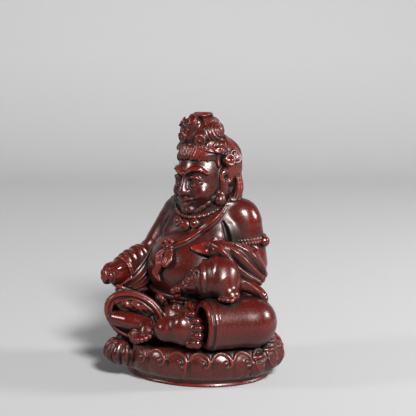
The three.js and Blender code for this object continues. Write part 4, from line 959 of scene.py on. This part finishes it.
def forearm(side):
    clay = Clay(f"forearm_{side}", "skin" if side == "left" else "cloth", MIDDLE)
    middle = between(ELBOW[side], WRIST[side], 0.5) + BEND[side]
    wrist_size = 3.4 if side == "left" else 4.05
    clay.add(limb([ELBOW[side], middle, WRIST[side]], [4.5, 4.4, wrist_size]))
    if side == "right":
        for share, lean in ((0.2, 0.6), (0.34, -0.4), (0.5, 0.5), (0.64, -0.3), (0.82, 0.3)):
            way = FOREARM_WAY[side] + place(0, 0, 0.3 * lean)
            ring = loop_round(between(ELBOW[side], WRIST[side], share) + BEND[side], way, 4.4, -100 + 30 * lean, 150, 10)
            clay.add(limb(clay.onto(ring, 0.0), [0.2] + [0.62] * 8 + [0.2]), 0.7)


def finger(clay, points, radius, nail):
    clay.add(limb(points, [radius * 1.02, radius, radius * 0.84][:len(points)]), 0.3)
    clay.add(sphere(points[-2], radius * 1.04), 0.3)
    clay.add(sphere(points[-1] + nail * radius * 0.5, radius * 0.62), 0.15)


def hand_left():
    clay = Clay("hand_left", "skin", FINE * 0.8)
    wrist = WRIST["left"]
    palm = wrist + LEFT_HAND_WAY * 2.4
    out = unit(place(0.3, -0.7, 0.65))
    rise = unit(np.cross(LEFT_HAND_WAY, out))
    rise = rise if rise[2] > 0 else -rise
    clay.add(limb([wrist, palm, palm + LEFT_HAND_WAY * 1.6], [2.7, 2.3, 1.7], 0.6, out))
    for index in range(4):
        lane = index - 1.5
        length = (5.4, 6.6, 7.0, 6.2)[index]
        root = palm + rise * lane * 0.95 - out * 0.2
        bend = root + LEFT_HAND_WAY * length * 0.5 + out * 0.3 - rise * lane * 0.12
        tip = root + LEFT_HAND_WAY * length - rise * lane * 0.4
        clay.add(limb([root, bend, tip], [0.82, 0.74, 0.5]), 0.2)
        clay.add(sphere(bend, 0.78), 0.2)
    thumb = [wrist + out * 0.9 + rise * 1.6, palm + out * 0.9 + rise * 1.9,
             palm + out * 0.7 + LEFT_HAND_WAY * 3.2 + rise * 1.7]
    clay.add(limb(thumb, [1.0, 0.9, 0.6]), 0.3)


def held_jewel():
    clay = Clay("held_jewel", "ornament", FINE * 0.85)
    clay.add(sphere(HELD, HELD_RADIUS))
    way = FOREARM_WAY["right"]
    for size, lift in ((2.6, 1.7), (1.7, 2.6)):
        clay.add(arc(HELD + way * lift, way, size, 0.34), 0.4)
    clay.add(sphere(HELD + way * 2.7, 0.8), 0.6)


def hand_right():
    clay = Clay("hand_right", "skin", FINE * 0.85)
    palm = WRIST["right"] + place(0, -0.74, -0.37)
    way = FOREARM_WAY["right"]
    clay.add(oval(palm, 4.1, 3.7, 4.1))
    clay.add(oval(palm + way * 1.6, 3.7, 3.2, 3.7), 0.6)
    for index in range(4):
        turn = math.radians(128 + index * 34)
        spoke = place(math.cos(turn), 0, math.sin(turn))
        bow = [palm + spoke * 3.3 + way * 0.6, HELD + spoke * 3.15 + way * 1.0, HELD + spoke * 1.9 + way * 2.7,
               HELD + spoke * 0.7 + way * 2.9]
        clay.add(limb(bow, [1.05, 1.1, 1.0, 0.8]), 0.15)
    thumb = [palm + place(2.6, -0.6, 2.2), HELD + place(2.6, -0.6, 2.0), HELD + place(1.2, -0.4, 1.6) + way * 2.2]
    clay.add(limb(thumb, [1.3, 1.2, 0.95]), 0.2)


def armlet_left():
    clay = Clay("armlet_left", "ornament", FINE)
    middle = between(SHOULDER["left"], ELBOW["left"], 0.5)
    axis = unit((ELBOW["left"] - SHOULDER["left"]) * place(0.5, 0.5, 1))
    side = unit(np.cross(axis, place(0, 1, 0)))
    front = np.cross(side, axis)
    for lift in (-0.55, 0.55):
        clay.add(arc(middle + axis * lift, axis, 6.1, 0.62), 0.15)
    for step in range(40):
        turn = math.radians(step * 9)
        out = side * math.cos(turn) + front * math.sin(turn)
        slant = (front * math.cos(turn) - side * math.sin(turn)) * 0.35
        clay.add(limb([middle + out * 6.55 - slant - axis, middle + out * 6.55 + slant + axis], 0.26), 0.12)
    jewel = middle + place(6.9, 0, 0)
    clay.add(sphere(jewel, 1.8), 0.2).add(arc(jewel + place(0.4, 0, 0), (1, 0, 0), 1.5, 0.35), 0.15)


def bracelet_right():
    clay = Clay("bracelet_right", "ornament", FINE)
    centre = between(WRIST["right"], ELBOW["right"], 0.06)
    axis = FOREARM_WAY["right"]
    clay.add(arc(centre, axis, 4.25, 0.5))
    clay.add(arc(centre - axis * 0.95, axis, 4.35, 0.36), 0.2)
    for start, end in ((place(-25.4, -14.2, 30.0), place(-20.8, -13.8, 27.8)),
                       (place(-19.0, -12.2, 31.4), place(-23.6, -14.2, 27.2))):
        middle = between(start, end, 0.5) + place(-0.3, -0.8, 0.1)
        clay.add(limb([start, middle, end], [0.7, 0.8, 0.65], 0.6, (0.3, -0.8, 0.3)), 0.2)


# Dress: drapes over the forearms, a sash with its knot, belt and apron
def drape_left():
    clay = Clay("drape_left", "cloth", FINE, 2.4)
    folds = [([(12.8, -11.6, 45.2), (16.8, -11.8, 43.4), (19.8, -9.8, 38.8), (22.4, -6.2, 35.2), (25.0, -2.4, 32.6)],
              [1.0, 1.35, 1.4, 1.3, 0.9]),
             ([(15.6, -8.6, 44.6), (19.8, -6.6, 41.2), (22.2, -3.4, 37.0), (24.4, -0.2, 33.6)], [1.3, 1.9, 1.9, 1.4]),
             ([(17.4, -5.0, 44.4), (21.2, -2.4, 41.4), (22.8, 1.0, 37.6), (23.2, 3.4, 34.4)], [1.3, 1.9, 1.9, 1.4]),
             ([(16.4, -8.6, 42.2), (19.0, -6.0, 38.4), (21.4, -2.6, 34.8), (22.4, 1.0, 33.2)], [1.5, 1.9, 1.9, 1.7]),
             ([(17.0, -1.8, 43.6), (20.4, 0.6, 41.0), (21.8, 3.2, 37.8), (21.6, 4.6, 34.8)], [1.0, 1.4, 1.4, 1.1])]
    for points, radii in folds:
        clay.add(limb(points, radii), 0.25)
    for points, radii in folds[:3]:
        ridge = [place(*p) + place(0.7, -0.9, 0.9) for p in points]
        clay.add(limb(clay.onto(ridge, -0.05), 0.4), 0.5)
    hem_line = [(24.6, -2.6, 32.6), (23.8, -0.4, 32.4), (23.2, 2.0, 32.8), (21.8, 4.4, 33.4)]
    clay.add(limb(hem_line, [0.7, 0.85, 0.85, 0.7]), 0.3)


def drape_right():
    clay = Clay("drape_right", "cloth", FINE, 2.6)
    elbow, wrist = ELBOW["right"], WRIST["right"]
    facing = unit(place(0.5, -0.85, 0.1))
    points = [elbow + place(2, -2.6, 4.05), between(elbow, wrist, 0.4) + place(3.6, -1.35, 0.45),
              between(elbow, wrist, 0.76) + place(3.8, 0.2, -2.2), wrist + place(1.4, 0.9, -5)]
    reach = [place(0.9, 0, 0), place(0.95, 0.1, -0.5), place(0.9, 0.2, -0.8), place(0.9, 0.3, -0.3)]
    for lane in range(-2, 7):
        lift = 0.5 - 0.04 * (lane - 1) ** 2 + 0.35 * (lane % 2)
        route = [p + r * lane + facing * lift for p, r in zip(points, reach)]
        clay.add(limb(route, [0.7, 0.9, 0.9, 0.75]), 0.12)
    for lane in (-1, 1.2, 3.4):
        route = clay.onto([p + r * lane + facing * 1.2 for p, r in zip(points, reach)], 0.05)
        clay.add(limb(route, [0.35, 0.55, 0.55, 0.35]), 0.4)


SASH_KNOT = BELLY.at(-10, 34, 0.7)
SASH_HALF = 1.6


def on_trunk(azimuth, height, out):
    """The outermost place on the chest and belly, at an azimuth and a height."""
    start = place(0, CHEST.centre[1], height)
    way = place(math.sin(math.radians(azimuth)), -math.cos(math.radians(azimuth)), 0)
    reach = 0.0
    for ball in (CHEST, BELLY):
        offset = (start - ball.centre) / ball.radii
        slope = way / ball.radii
        half = offset @ slope
        square = half * half - (slope @ slope) * (offset @ offset - 1)
        if square > 0:
            reach = max(reach, (math.sqrt(square) - half) / (slope @ slope))
    return start + way * (reach + out)


def sash():
    clay = Clay("sash", "cloth", FINE)
    fall = [(54, 0.6), (37, 0.33), (20, 0.07), (6, -0.16)]
    route = [SHOULDERS.at(62, 52, 0.2)]
    route += [on_trunk(azimuth, CHEST.centre[2] + 11 * rise, 0.45) for azimuth, rise in fall] + [SASH_KNOT]
    clay.add(limb(route, SASH_HALF, 0.6, (0, -1, 0)))
    across = unit(place(0.8, 0, 0.6))
    for side in (-1, 1):
        clay.add(limb([p + across * side * 1.25 + place(0, -0.62, 0) for p in route], 0.36), 0.25)
    loop = [SHOULDERS.at(50, 58, 0.4), SHOULDERS.at(62, 66, 1.2), SHOULDERS.at(80, 56, 0.6)]
    clay.add(limb(loop, [1.0, 1.2, 0.9]), 0.5)


def sash_knot():
    clay = Clay("sash_knot", "cloth", FINE * 0.8)
    clay.add(oval(SASH_KNOT, 1.9, 1.5, 1.6))
    for bow in ([place(0.2, -0.4, 0.4), place(-1.8, -0.8, 2.4), place(-2.6, -0.3, 0.8), place(-0.6, -0.2, -0.2)],
                [place(0.2, -0.4, 0.4), place(1.4, -0.7, 2.0), place(0.2, -0.7, 2.8), place(-0.6, -0.3, 0.8)]):
        clay.add(limb([SASH_KNOT + step for step in bow], [0.5, 0.62, 0.6, 0.5]), 0.2)
    flap = [SASH_KNOT + place(0.2, -0.2, -0.4), BELLY.at(-7, 27, 0.7), BELLY.at(-6, 17, 0.9), BELLY.at(-8, 12, 1.1)]
    clay.add(limb(flap, [0.9, 1.5, 1.9, 1.1], 0.45, (0, -1, 0.3)), 0.3)
    for side in (-1, 0.1, 1.2):
        crease = [p + place(side * share, -0.5, 0) for p, share in zip(flap, (0.4, 1.0, 1.2, 0.9))]
        clay.add(limb(crease, [0.3, 0.42, 0.46, 0.3]), 0.2)
    tail = [SASH_KNOT + place(-1.0, -0.1, -0.4), BELLY.at(-20, 22, 0.7), BELLY.at(-15, 11, 0.9), BELLY.at(-20, 0, 0.9),
            BELLY.at(-15, -10, 0.6)]
    clay.add(limb(tail, [0.9, 1.35, 1.3, 1.3, 0.4], 0.45, (0, -1, 0)), 0.3)
    for side in (-0.8, 0.6):
        edge = [p + place(side * share, -0.5, 0) for p, share in zip(tail, (0.8, 1.3, 1.3, 1.2, 0.3))]
        clay.add(limb(edge, [0.3, 0.4, 0.38, 0.36, 0.2]), 0.2)


def neck_place(azimuth, drop=0.0):
    reach = 9.84
    share = math.cos(math.radians(azimuth))
    height = SHOULDERS.centre[2] + reach * (0.48 - 0.64 * share)
    return place(reach * math.sin(math.radians(azimuth)), CHEST.centre[1] - reach * share - drop * 0.4, height - drop)


def necklace():
    clay = Clay("necklace", "ornament", FINE)
    clay.add(limb([neck_place(a) for a in range(-76, 77, 19)], 0.54))
    beads = [sphere(neck_place(a), 0.95) for a in np.linspace(-72, 72, 17)]
    clay.add(total(beads), 0.12)


PENDANTS = [(-17, 20, 0.9), (-5, 14, 1.15), (9, 19, 0.9)]


def pendant(index):
    clay = Clay(f"pendant_{index + 1}", "ornament", FINE * 0.85)
    azimuth, elevation, size = PENDANTS[index]
    centre = CHEST.at(azimuth, elevation, 0.5)
    way = CHEST.at(azimuth, elevation, 1.5) - centre
    half = 1.9 * size
    clay.add(oval(centre, half, half * 0.6, half))
    clay.add(arc(centre + way * 0.35, way, half * 0.82, 0.3), 0.2)
    clay.add(sphere(centre + way * 0.75, half * 0.4), 0.2)


def belt_place(azimuth, out=0.0, lift=0.0):
    return BELLY.at(azimuth, -36 + abs(azimuth) * 0.16 + lift, out)


def belt():
    clay = Clay("belt", "ornament", FINE)
    angles = [-80, -50, -20, 10, 34, 56]
    clay.add(limb([belt_place(a, 0.38) for a in angles], 1.1))
    for lift in (-3.4, 3.4):
        clay.add(limb([belt_place(a, 0.8, lift) for a in angles], 0.36), 0.25)
    twists = [limb([belt_place(a - 1.6, 1.1, -2.4), belt_place(a + 1.6, 1.1, 2.4)], 0.34)
              for a in np.arange(-78, 56, 4.4)]
    clay.add(total(twists), 0.3)


BELT_AZIMUTHS = {"right": -24, "left": 26}


def belt_rosette(side):
    clay = Clay(f"belt_rosette_{side}", "ornament", FINE * 0.85)
    azimuth = BELT_AZIMUTHS[side]
    centre = belt_place(azimuth, 1.44) + place(0, -0.4, -1.2)
    way = unit(place(math.sin(math.radians(azimuth)), -1, 0.1))
    clay.add(arc(centre, way, 1.82, 0.67))
    clay.add(oval(centre - way * 0.2, 1.9, 1.1, 1.9), 0.3)
    clay.add(arc(centre + way * 0.55, way, 1.7, 0.36, 0, 600, growth=-1.5), 0.15)


def belt_jewel():
    clay = Clay("belt_jewel", "ornament", FINE)
    ball = belt_place(2, 1.6) + place(0, 0, -2.6)
    cap = belt_place(2, 1.2) + place(0, 0, -0.4)
    clay.add(sphere(ball, 2.2))
    clay.add(oval(cap, 2.8, 1.4, 1.2), 0.3)
    clay.add(limb([cap + place(-2.2, -0.8, 0.2), cap + place(0, -1.5, 0.5), cap + place(2.2, -0.8, 0.2)],
                  [0.4, 0.5, 0.4]), 0.2)
    clay.add(arc(ball + place(0, -1.3, 0.2), (0, -1, 0.1), 1.5, 0.34), 0.2)


def tassel(side):
    clay = Clay(f"tassel_{side}", "ornament", FINE * 0.85)
    top = belt_place(BELT_AZIMUTHS[side] * 0.6, 1.2) + place(0, 0, -0.6)
    route = [top, top + place(0, 0.6, -3), top + place(0, 1.2, -5.4)]
    clay.add(limb(route, [0.9, 1.15, 1.3]))
    clay.add(arc(top + place(0, 0.2, -1.3), (0, -0.2, 1), 0.95, 0.32), 0.15)
    for turn in range(0, 360, 40):
        way = place(math.cos(math.radians(turn)), math.sin(math.radians(turn)), 0)
        clay.add(limb([route[0] + way * 0.8, route[1] + way * 1.15, route[2] + way * 1.35], 0.3), 0.15)


def apron():
    clay = Clay("apron", "cloth", FINE)
    reach = 8.4
    centre = place(0, -14.98, SEAT + 10.4)
    clay.add(oval(centre + place(0, 2.6, -4), reach, 4.4, 6.4))
    for share, out, size in ((1.0, -1.18, 1.25), (0.78, -1.5, 0.9), (0.58, -1.5, 0.8), (0.4, -1.2, 0.7),
                             (0.22, -0.8, 0.6)):
        fold = [centre + place(math.sin(math.radians(t)) * reach * share, out, -math.cos(math.radians(t)) * reach * share)
                for t in (-72, -36, 0, 36, 72)]
        clay.add(limb(fold, [0.8 * size, size, 1.1 * size, size, 0.8 * size]), 0.4)
    seat_plane(clay)


SCULPTORS = [lotus_base, lotus_leaf, lotus_bud, foot_left, foot_right, conch_shell, trouser_lining, trunk, head,
             hair_cap, topknot, topknot_knob, brow_fillet, hair_tress, beard, mongoose, mongoose_tail,
             mongoose_jewels, hand_left, held_jewel, hand_right, armlet_left, bracelet_right, drape_left,
             drape_right, sash, sash_knot, necklace, belt, belt_jewel, apron]
SIDED = [leg, hem, ear, earring, crown_ribbon, upper_arm, forearm, belt_rosette, tassel]
WELDS = [("trunk", "upper_arm_left", 1.1), ("trunk", "upper_arm_right", 1.1),
         ("upper_arm_left", "forearm_left", 1.2), ("upper_arm_right", "forearm_right", 1.2),
         ("forearm_left", "hand_left", 0.8), ("head", "ear_left", 0.5), ("head", "ear_right", 0.5),
         ("mongoose", "mongoose_tail", 0.8)]


def sculpt_all():
    for sculptor in SCULPTORS:
        sculptor()
    for sculptor in SIDED:
        for side in SIGN:
            sculptor(side)
    for side in SIGN:
        for index in range(len(CURLS)):
            hair_curl(side, index)
    for index in range(len(PENDANTS)):
        pendant(index)
    for clay in PIECES.values():
        clay.whole = clay.d
    for first, second, soft in WELDS:
        weld(first, second, soft)


# Meshes: each piece's surface, with how hollow and how worn the clay is at each point; the hollow value is painted
# shade
class Air:
    """Distances to the nearest clay of any piece, in one block round the figure."""

    def __init__(self):
        corners = [node_box(name) for name in PIECES]
        low = np.min([corner[0] for corner in corners], axis=0) - 2 * REACH
        high = np.max([corner[1] for corner in corners], axis=0) + 2 * REACH
        self.voxel = AIR_VOXEL
        self.start = np.floor(low / AIR_VOXEL).astype(int)
        stop = np.ceil(high / AIR_VOXEL).astype(int) + 1
        self.d = np.full(stop - self.start, REACH, np.float32)
        for clay in PIECES.values():
            first, last = self.span(clay)
            part = tuple(slice(a, b) for a, b in zip(first - self.start, last - self.start))
            patch = Patch(first, self.voxel, last - first)
            self.d[part] = np.minimum(self.d[part], clay.sampled(patch, clay.whole))

    def span(self, clay):
        low = clay.start * clay.voxel / self.voxel
        high = (clay.start + np.array(clay.d.shape) - 1) * clay.voxel / self.voxel
        first = np.maximum(np.ceil(low).astype(int), self.start)
        last = np.minimum(np.floor(high).astype(int) + 1, self.start + np.array(self.d.shape))
        return first, last

    at = Clay.at


class Patch:
    def __init__(self, start, voxel, shape):
        self.start = start
        self.voxel = voxel
        self.d = np.empty(shape, np.float32)


def largest_bodies(count, quads, least):
    """Marks the points of every connected body that has at least so many points."""
    label = np.arange(count)
    edges = np.concatenate([quads[:, [0, 1]], quads[:, [1, 2]], quads[:, [2, 3]]])
    while True:
        before = label.copy()
        lowest = np.minimum(label[edges[:, 0]], label[edges[:, 1]])
        np.minimum.at(label, edges[:, 0], lowest)
        np.minimum.at(label, edges[:, 1], lowest)
        label = label[label]
        if np.array_equal(before, label):
            break
    sizes = np.bincount(label, minlength=count)
    return sizes[label] >= least


def surface(clay):
    for axis, grid_line in enumerate(clay.axes()):
        low, high = (corner[axis] / MM - ORIGIN[axis] for corner in CAD_BOX)
        outside = np.maximum(low + SEAM - grid_line, grid_line - high + SEAM)
        clay.d = np.maximum(clay.d, outside.astype(np.float32))
        edge = [slice(None)] * 3
        for end in (0, -1):
            edge[axis] = end
            clay.d[tuple(edge)] = REACH
    grid = openvdb.FloatGrid(REACH)
    grid.copyFromArray(np.clip(clay.d, -REACH, REACH), ijk=(0, 0, 0), tolerance=0.0)
    points, quads = grid.convertToQuads(isovalue=0.0)
    kept = largest_bodies(len(points), quads, 80)
    index = np.cumsum(kept) - 1
    quads = index[quads[kept[quads[:, 0]]]]
    return (points[kept] + clay.start) * clay.voxel, quads


def mesh_of(clay, air):
    points, quads = surface(clay)
    mesh = bpy.data.meshes.new(clay.name)
    mesh.vertices.add(len(points))
    mesh.vertices.foreach_set("co", ((points + ORIGIN) * MM).astype(np.float32).ravel())
    mesh.loops.add(quads.size)
    mesh.loops.foreach_set("vertex_index", quads.astype(np.int32).ravel())
    mesh.polygons.add(len(quads))
    mesh.polygons.foreach_set("loop_start", np.arange(0, quads.size, 4, dtype=np.int32))
    mesh.polygons.foreach_set("use_smooth", np.ones(len(quads), bool))
    mesh.update(calc_edges=True)
    normals = np.empty(len(points) * 3, np.float32)
    mesh.vertex_normals.foreach_get("vector", normals)
    normals = normals.reshape(-1, 3)
    # Painted shade: the hollow value grows in small hollows, where other clay crowds round a spot and on downward
    # faces, and darkens the colour there
    hollow = sum(np.clip((t - air.at(points + normals * t)) / t, 0, 1) for t in (0.6, 1.1, 1.8)) / 3
    worn = sum(np.clip((air.at(points - normals * t) + t) / t, 0, 1) for t in (0.7, 1.4)) / 2
    leans = [normals + way * sign for way in np.eye(3) for sign in (0.9, -0.9)]
    leans = [lean / np.maximum(np.linalg.norm(lean, axis=1, keepdims=True), 1e-6) for lean in leans]
    shade_from_neighbours = sum(np.clip(0.5 - air.at(points + lean * t) / 2, 0, 1) for lean in leans for t in (3.5, 8.0)) / 12
    hollow = hollow + 0.26 * shade_from_neighbours + 0.16 * np.clip(-normals[:, 2], 0, 1)
    if clay.blend is not None:
        sides = [[clay.at(points + step, clay.blend) for step in (way, -way)] for way in np.eye(3) * clay.voxel]
        slopes = np.array([ahead - behind for ahead, behind in sides]).T
        slopes /= np.maximum(np.linalg.norm(slopes, axis=1, keepdims=True), 1e-6)
        mesh.normals_split_custom_set_from_vertices(slopes.tolist())
    for name, values in (("hollow", hollow), ("worn", worn)):
        layer = mesh.attributes.new(name, "FLOAT", "POINT")
        layer.data.foreach_set("value", values.astype(np.float32))
    return mesh


# Materials: fired red clay, rubbed brighter on its edges, with painted shade darkening its hollows and undersides
# Each set's darkest tone is painted shade for hollows and undersides; body and rubbed are the clay's own colours
CLAY_TONES = {
    "base": {"painted_shade": (6, 2, 1), "body": (66, 14, 8), "rubbed": (130, 31, 17), "rough": 0.26},
    "skin": {"painted_shade": (7, 2, 1), "body": (73, 15, 8), "rubbed": (137, 33, 19), "rough": 0.19},
    "cloth": {"painted_shade": (6, 2, 1), "body": (69, 14, 8), "rubbed": (134, 31, 17), "rough": 0.22},
    "ornament": {"painted_shade": (7, 2, 1), "body": (82, 18, 10), "rubbed": (146, 36, 21), "rough": 0.22},
}


def linear(colour):
    values = [c / 255 for c in colour]
    values = [c / 12.92 if c <= 0.04045 else ((c + 0.055) / 1.055) ** 2.4 for c in values]
    return (*values, 1.0)


def mapped(nodes, links, value, low, high, first, last):
    node = nodes.new("ShaderNodeMapRange")
    for socket, number in (("From Min", low), ("From Max", high), ("To Min", first), ("To Max", last)):
        node.inputs[socket].default_value = number
    links.new(value, node.inputs["Value"])
    return node.outputs["Result"]


def mixed(nodes, links, share, first, second):
    node = nodes.new("ShaderNodeMix")
    node.data_type = "RGBA"
    for index, value in ((0, share), (6, first), (7, second)):
        if isinstance(value, tuple) or isinstance(value, float):
            node.inputs[index].default_value = value
        else:
            links.new(value, node.inputs[index])
    return node.outputs[2]


def noise(nodes, links, place_socket, scale, detail):
    node = nodes.new("ShaderNodeTexNoise")
    node.inputs["Scale"].default_value = scale
    node.inputs["Detail"].default_value = detail
    links.new(place_socket, node.inputs["Vector"])
    return node.outputs["Fac"]


def clay_material(slot, tones):
    material = bpy.data.materials.new(f"clay_{slot}")
    material.use_nodes = True
    nodes, links = material.node_tree.nodes, material.node_tree.links
    shader = nodes["Principled BSDF"]
    spot = nodes.new("ShaderNodeTexCoord").outputs["Object"]
    parts = {}
    for name in ("hollow", "worn"):
        node = nodes.new("ShaderNodeAttribute")
        node.attribute_name = name
        parts[name] = node.outputs["Fac"]
    cloud = noise(nodes, links, spot, 160.0, 3.0)
    speck = noise(nodes, links, spot, 1500.0, 4.0)
    grain = noise(nodes, links, spot, 5200.0, 5.0)
    body = linear(tones["body"])
    duller = tuple(c * 0.72 for c in body[:3]) + (1.0,)
    colour = mixed(nodes, links, mapped(nodes, links, cloud, 0.35, 0.68, 0.0, 1.0), duller, body)
    colour = mixed(nodes, links, mapped(nodes, links, speck, 0.5, 0.75, 0.0, 0.2), colour,
                   linear(tones["rubbed"]))
    colour = mixed(nodes, links, mapped(nodes, links, parts["worn"], 0.2, 0.9, 0.0, 0.6), colour,
                   linear(tones["rubbed"]))
    # Painted shade: the colour darkens towards the darkest tone in hollows and on undersides
    colour = mixed(nodes, links, mapped(nodes, links, parts["hollow"], 0.02, 0.45, 0.0, 0.97), colour,
                   linear(tones["painted_shade"]))
    links.new(colour, shader.inputs["Base Color"])
    shader.inputs["Specular IOR Level"].default_value = 0.62
    shader.inputs["Specular Tint"].default_value = (1.0, 0.86, 0.83, 1.0)
    rough = nodes.new("ShaderNodeMath")
    rough.operation = "ADD"
    links.new(mapped(nodes, links, speck, 0.3, 0.7, tones["rough"] - 0.03, tones["rough"] + 0.05), rough.inputs[0])
    links.new(mapped(nodes, links, parts["hollow"], 0.0, 0.6, 0.0, 0.3), rough.inputs[1])
    links.new(rough.outputs[0], shader.inputs["Roughness"])
    bump = nodes.new("ShaderNodeBump")
    bump.inputs["Strength"].default_value = 0.3
    bump.inputs["Distance"].default_value = 0.00003
    links.new(grain, bump.inputs["Height"])
    wide_bump = nodes.new("ShaderNodeBump")
    wide_bump.inputs["Strength"].default_value = 0.16
    wide_bump.inputs["Distance"].default_value = 0.00008
    links.new(speck, wide_bump.inputs["Height"])
    links.new(wide_bump.outputs["Normal"], bump.inputs["Normal"])
    links.new(bump.outputs["Normal"], shader.inputs["Normal"])
    return material


def dress_figure():
    air = Air()
    materials = {slot: clay_material(slot, tones) for slot, tones in CLAY_TONES.items()}
    for name, clay in PIECES.items():
        piece = bpy.data.objects.new(f"{name}_clay", mesh_of(clay, air))
        piece.data.materials.append(materials[clay.slot])
        bpy.context.scene.collection.objects.link(piece)
        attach(piece, "root")
        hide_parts(name)


# Studio: a pale floor with painted light on it, soft light from all round and a large soft lamp
CAMERA_AZIMUTH = 32.0
CAMERA_PITCH = 8.0
CAMERA_DISTANCE = 385.0
CAMERA_TARGET = place(2.8, 1.75, 55)
LAMPS = [("key", 52, 0.5, 0.68, 0.16, 14.2), ("fill", -44, 0.4, 0.76, 0.14, 2.5), ("rim", 118, 0.3, 0.6, 0.12, 3.2)]


def studio():
    scene = bpy.context.scene
    world = bpy.data.worlds.new("studio_air")
    world.use_nodes = True
    tree = world.node_tree
    background = tree.nodes["Background"]
    background.inputs["Color"].default_value = (0.92, 0.94, 1.0, 1)
    background.inputs["Strength"].default_value = 0.06
    haze = tree.nodes.new("ShaderNodeBackground")
    haze.inputs["Color"].default_value = (0.6, 0.61, 0.62, 1)
    seen = tree.nodes.new("ShaderNodeMixShader")
    tree.links.new(tree.nodes.new("ShaderNodeLightPath").outputs["Is Camera Ray"], seen.inputs[0])
    tree.links.new(background.outputs[0], seen.inputs[1])
    tree.links.new(haze.outputs[0], seen.inputs[2])
    tree.links.new(seen.outputs[0], tree.nodes["World Output"].inputs["Surface"])
    scene.world = world
    mesh = bpy.data.meshes.new("studio_floor")
    points, faces = [], []
    reach, half, bend = 0.55, 2.0, 0.5
    turn = math.radians(CAMERA_AZIMUTH)
    back = place(-math.sin(turn), math.cos(turn), 0)
    side = place(math.cos(turn), math.sin(turn), 0)
    profile = [(-half, 0), (reach, 0)]
    profile += [(reach + bend * math.sin(math.radians(a)), bend - bend * math.cos(math.radians(a)))
                for a in range(6, 91, 6)] + [(reach + bend, half)]
    for along, height in profile:
        points += [back * along + side * across + place(0, 0, height) for across in (-half, half)]
    faces = [(2 * i, 2 * i + 1, 2 * i + 3, 2 * i + 2) for i in range(len(profile) - 1)]
    mesh.from_pydata([tuple(p) for p in points], [], faces)
    mesh.polygons.foreach_set("use_smooth", [True] * len(faces))
    floor = bpy.data.objects.new("studio_floor", mesh)
    material = bpy.data.materials.new("studio_paper")
    material.use_nodes = True
    nodes, links = material.node_tree.nodes, material.node_tree.links
    paper = nodes["Principled BSDF"]
    # Painted light: the paper is painted dark near the figure and paler behind it, making up for the lamps' light
    # falling off across the floor
    away = nodes.new("ShaderNodeVectorMath")
    away.operation = "DOT_PRODUCT"
    links.new(nodes.new("ShaderNodeTexCoord").outputs["Object"], away.inputs[0])
    away.inputs[1].default_value = back
    painted_floor_light = mapped(nodes, links, away.outputs["Value"], -0.35, 0.85, 0.18, 0.84)
    links.new(painted_floor_light, paper.inputs["Base Color"])
    paper.inputs["Roughness"].default_value = 0.9
    paper.inputs["Specular IOR Level"].default_value = 0.0
    mesh.materials.append(material)
    scene.collection.objects.link(floor)
    for name, azimuth, height, reach, size, power in LAMPS:
        lamp = bpy.data.lights.new(name, "AREA")
        lamp.size = size
        lamp.energy = power
        holder = bpy.data.objects.new(name, lamp)
        turn = math.radians(azimuth)
        spot = (reach * math.sin(turn), -reach * math.cos(turn), height)
        holder.location = spot
        holder.rotation_euler = (Vector((0, 0, 0.05)) - Vector(spot)).to_track_quat("-Z", "Y").to_euler()
        scene.collection.objects.link(holder)


def camera():
    scene = bpy.context.scene
    lens = bpy.data.cameras.new("camera")
    lens.lens = 100
    lens.sensor_width = 36
    holder = bpy.data.objects.new("camera", lens)
    a, e = math.radians(CAMERA_AZIMUTH), math.radians(CAMERA_PITCH)
    target = (CAMERA_TARGET + ORIGIN) * MM
    way = place(math.sin(a) * math.cos(e), -math.cos(a) * math.cos(e), math.sin(e))
    holder.location = Vector(target + way * CAMERA_DISTANCE * MM)
    holder.rotation_euler = Vector(-way).to_track_quat("-Z", "Y").to_euler()
    scene.collection.objects.link(holder)
    scene.camera = holder


sculpt_all()
dress_figure()
studio()
camera()
bpy.context.scene.view_settings.view_transform = "Standard"
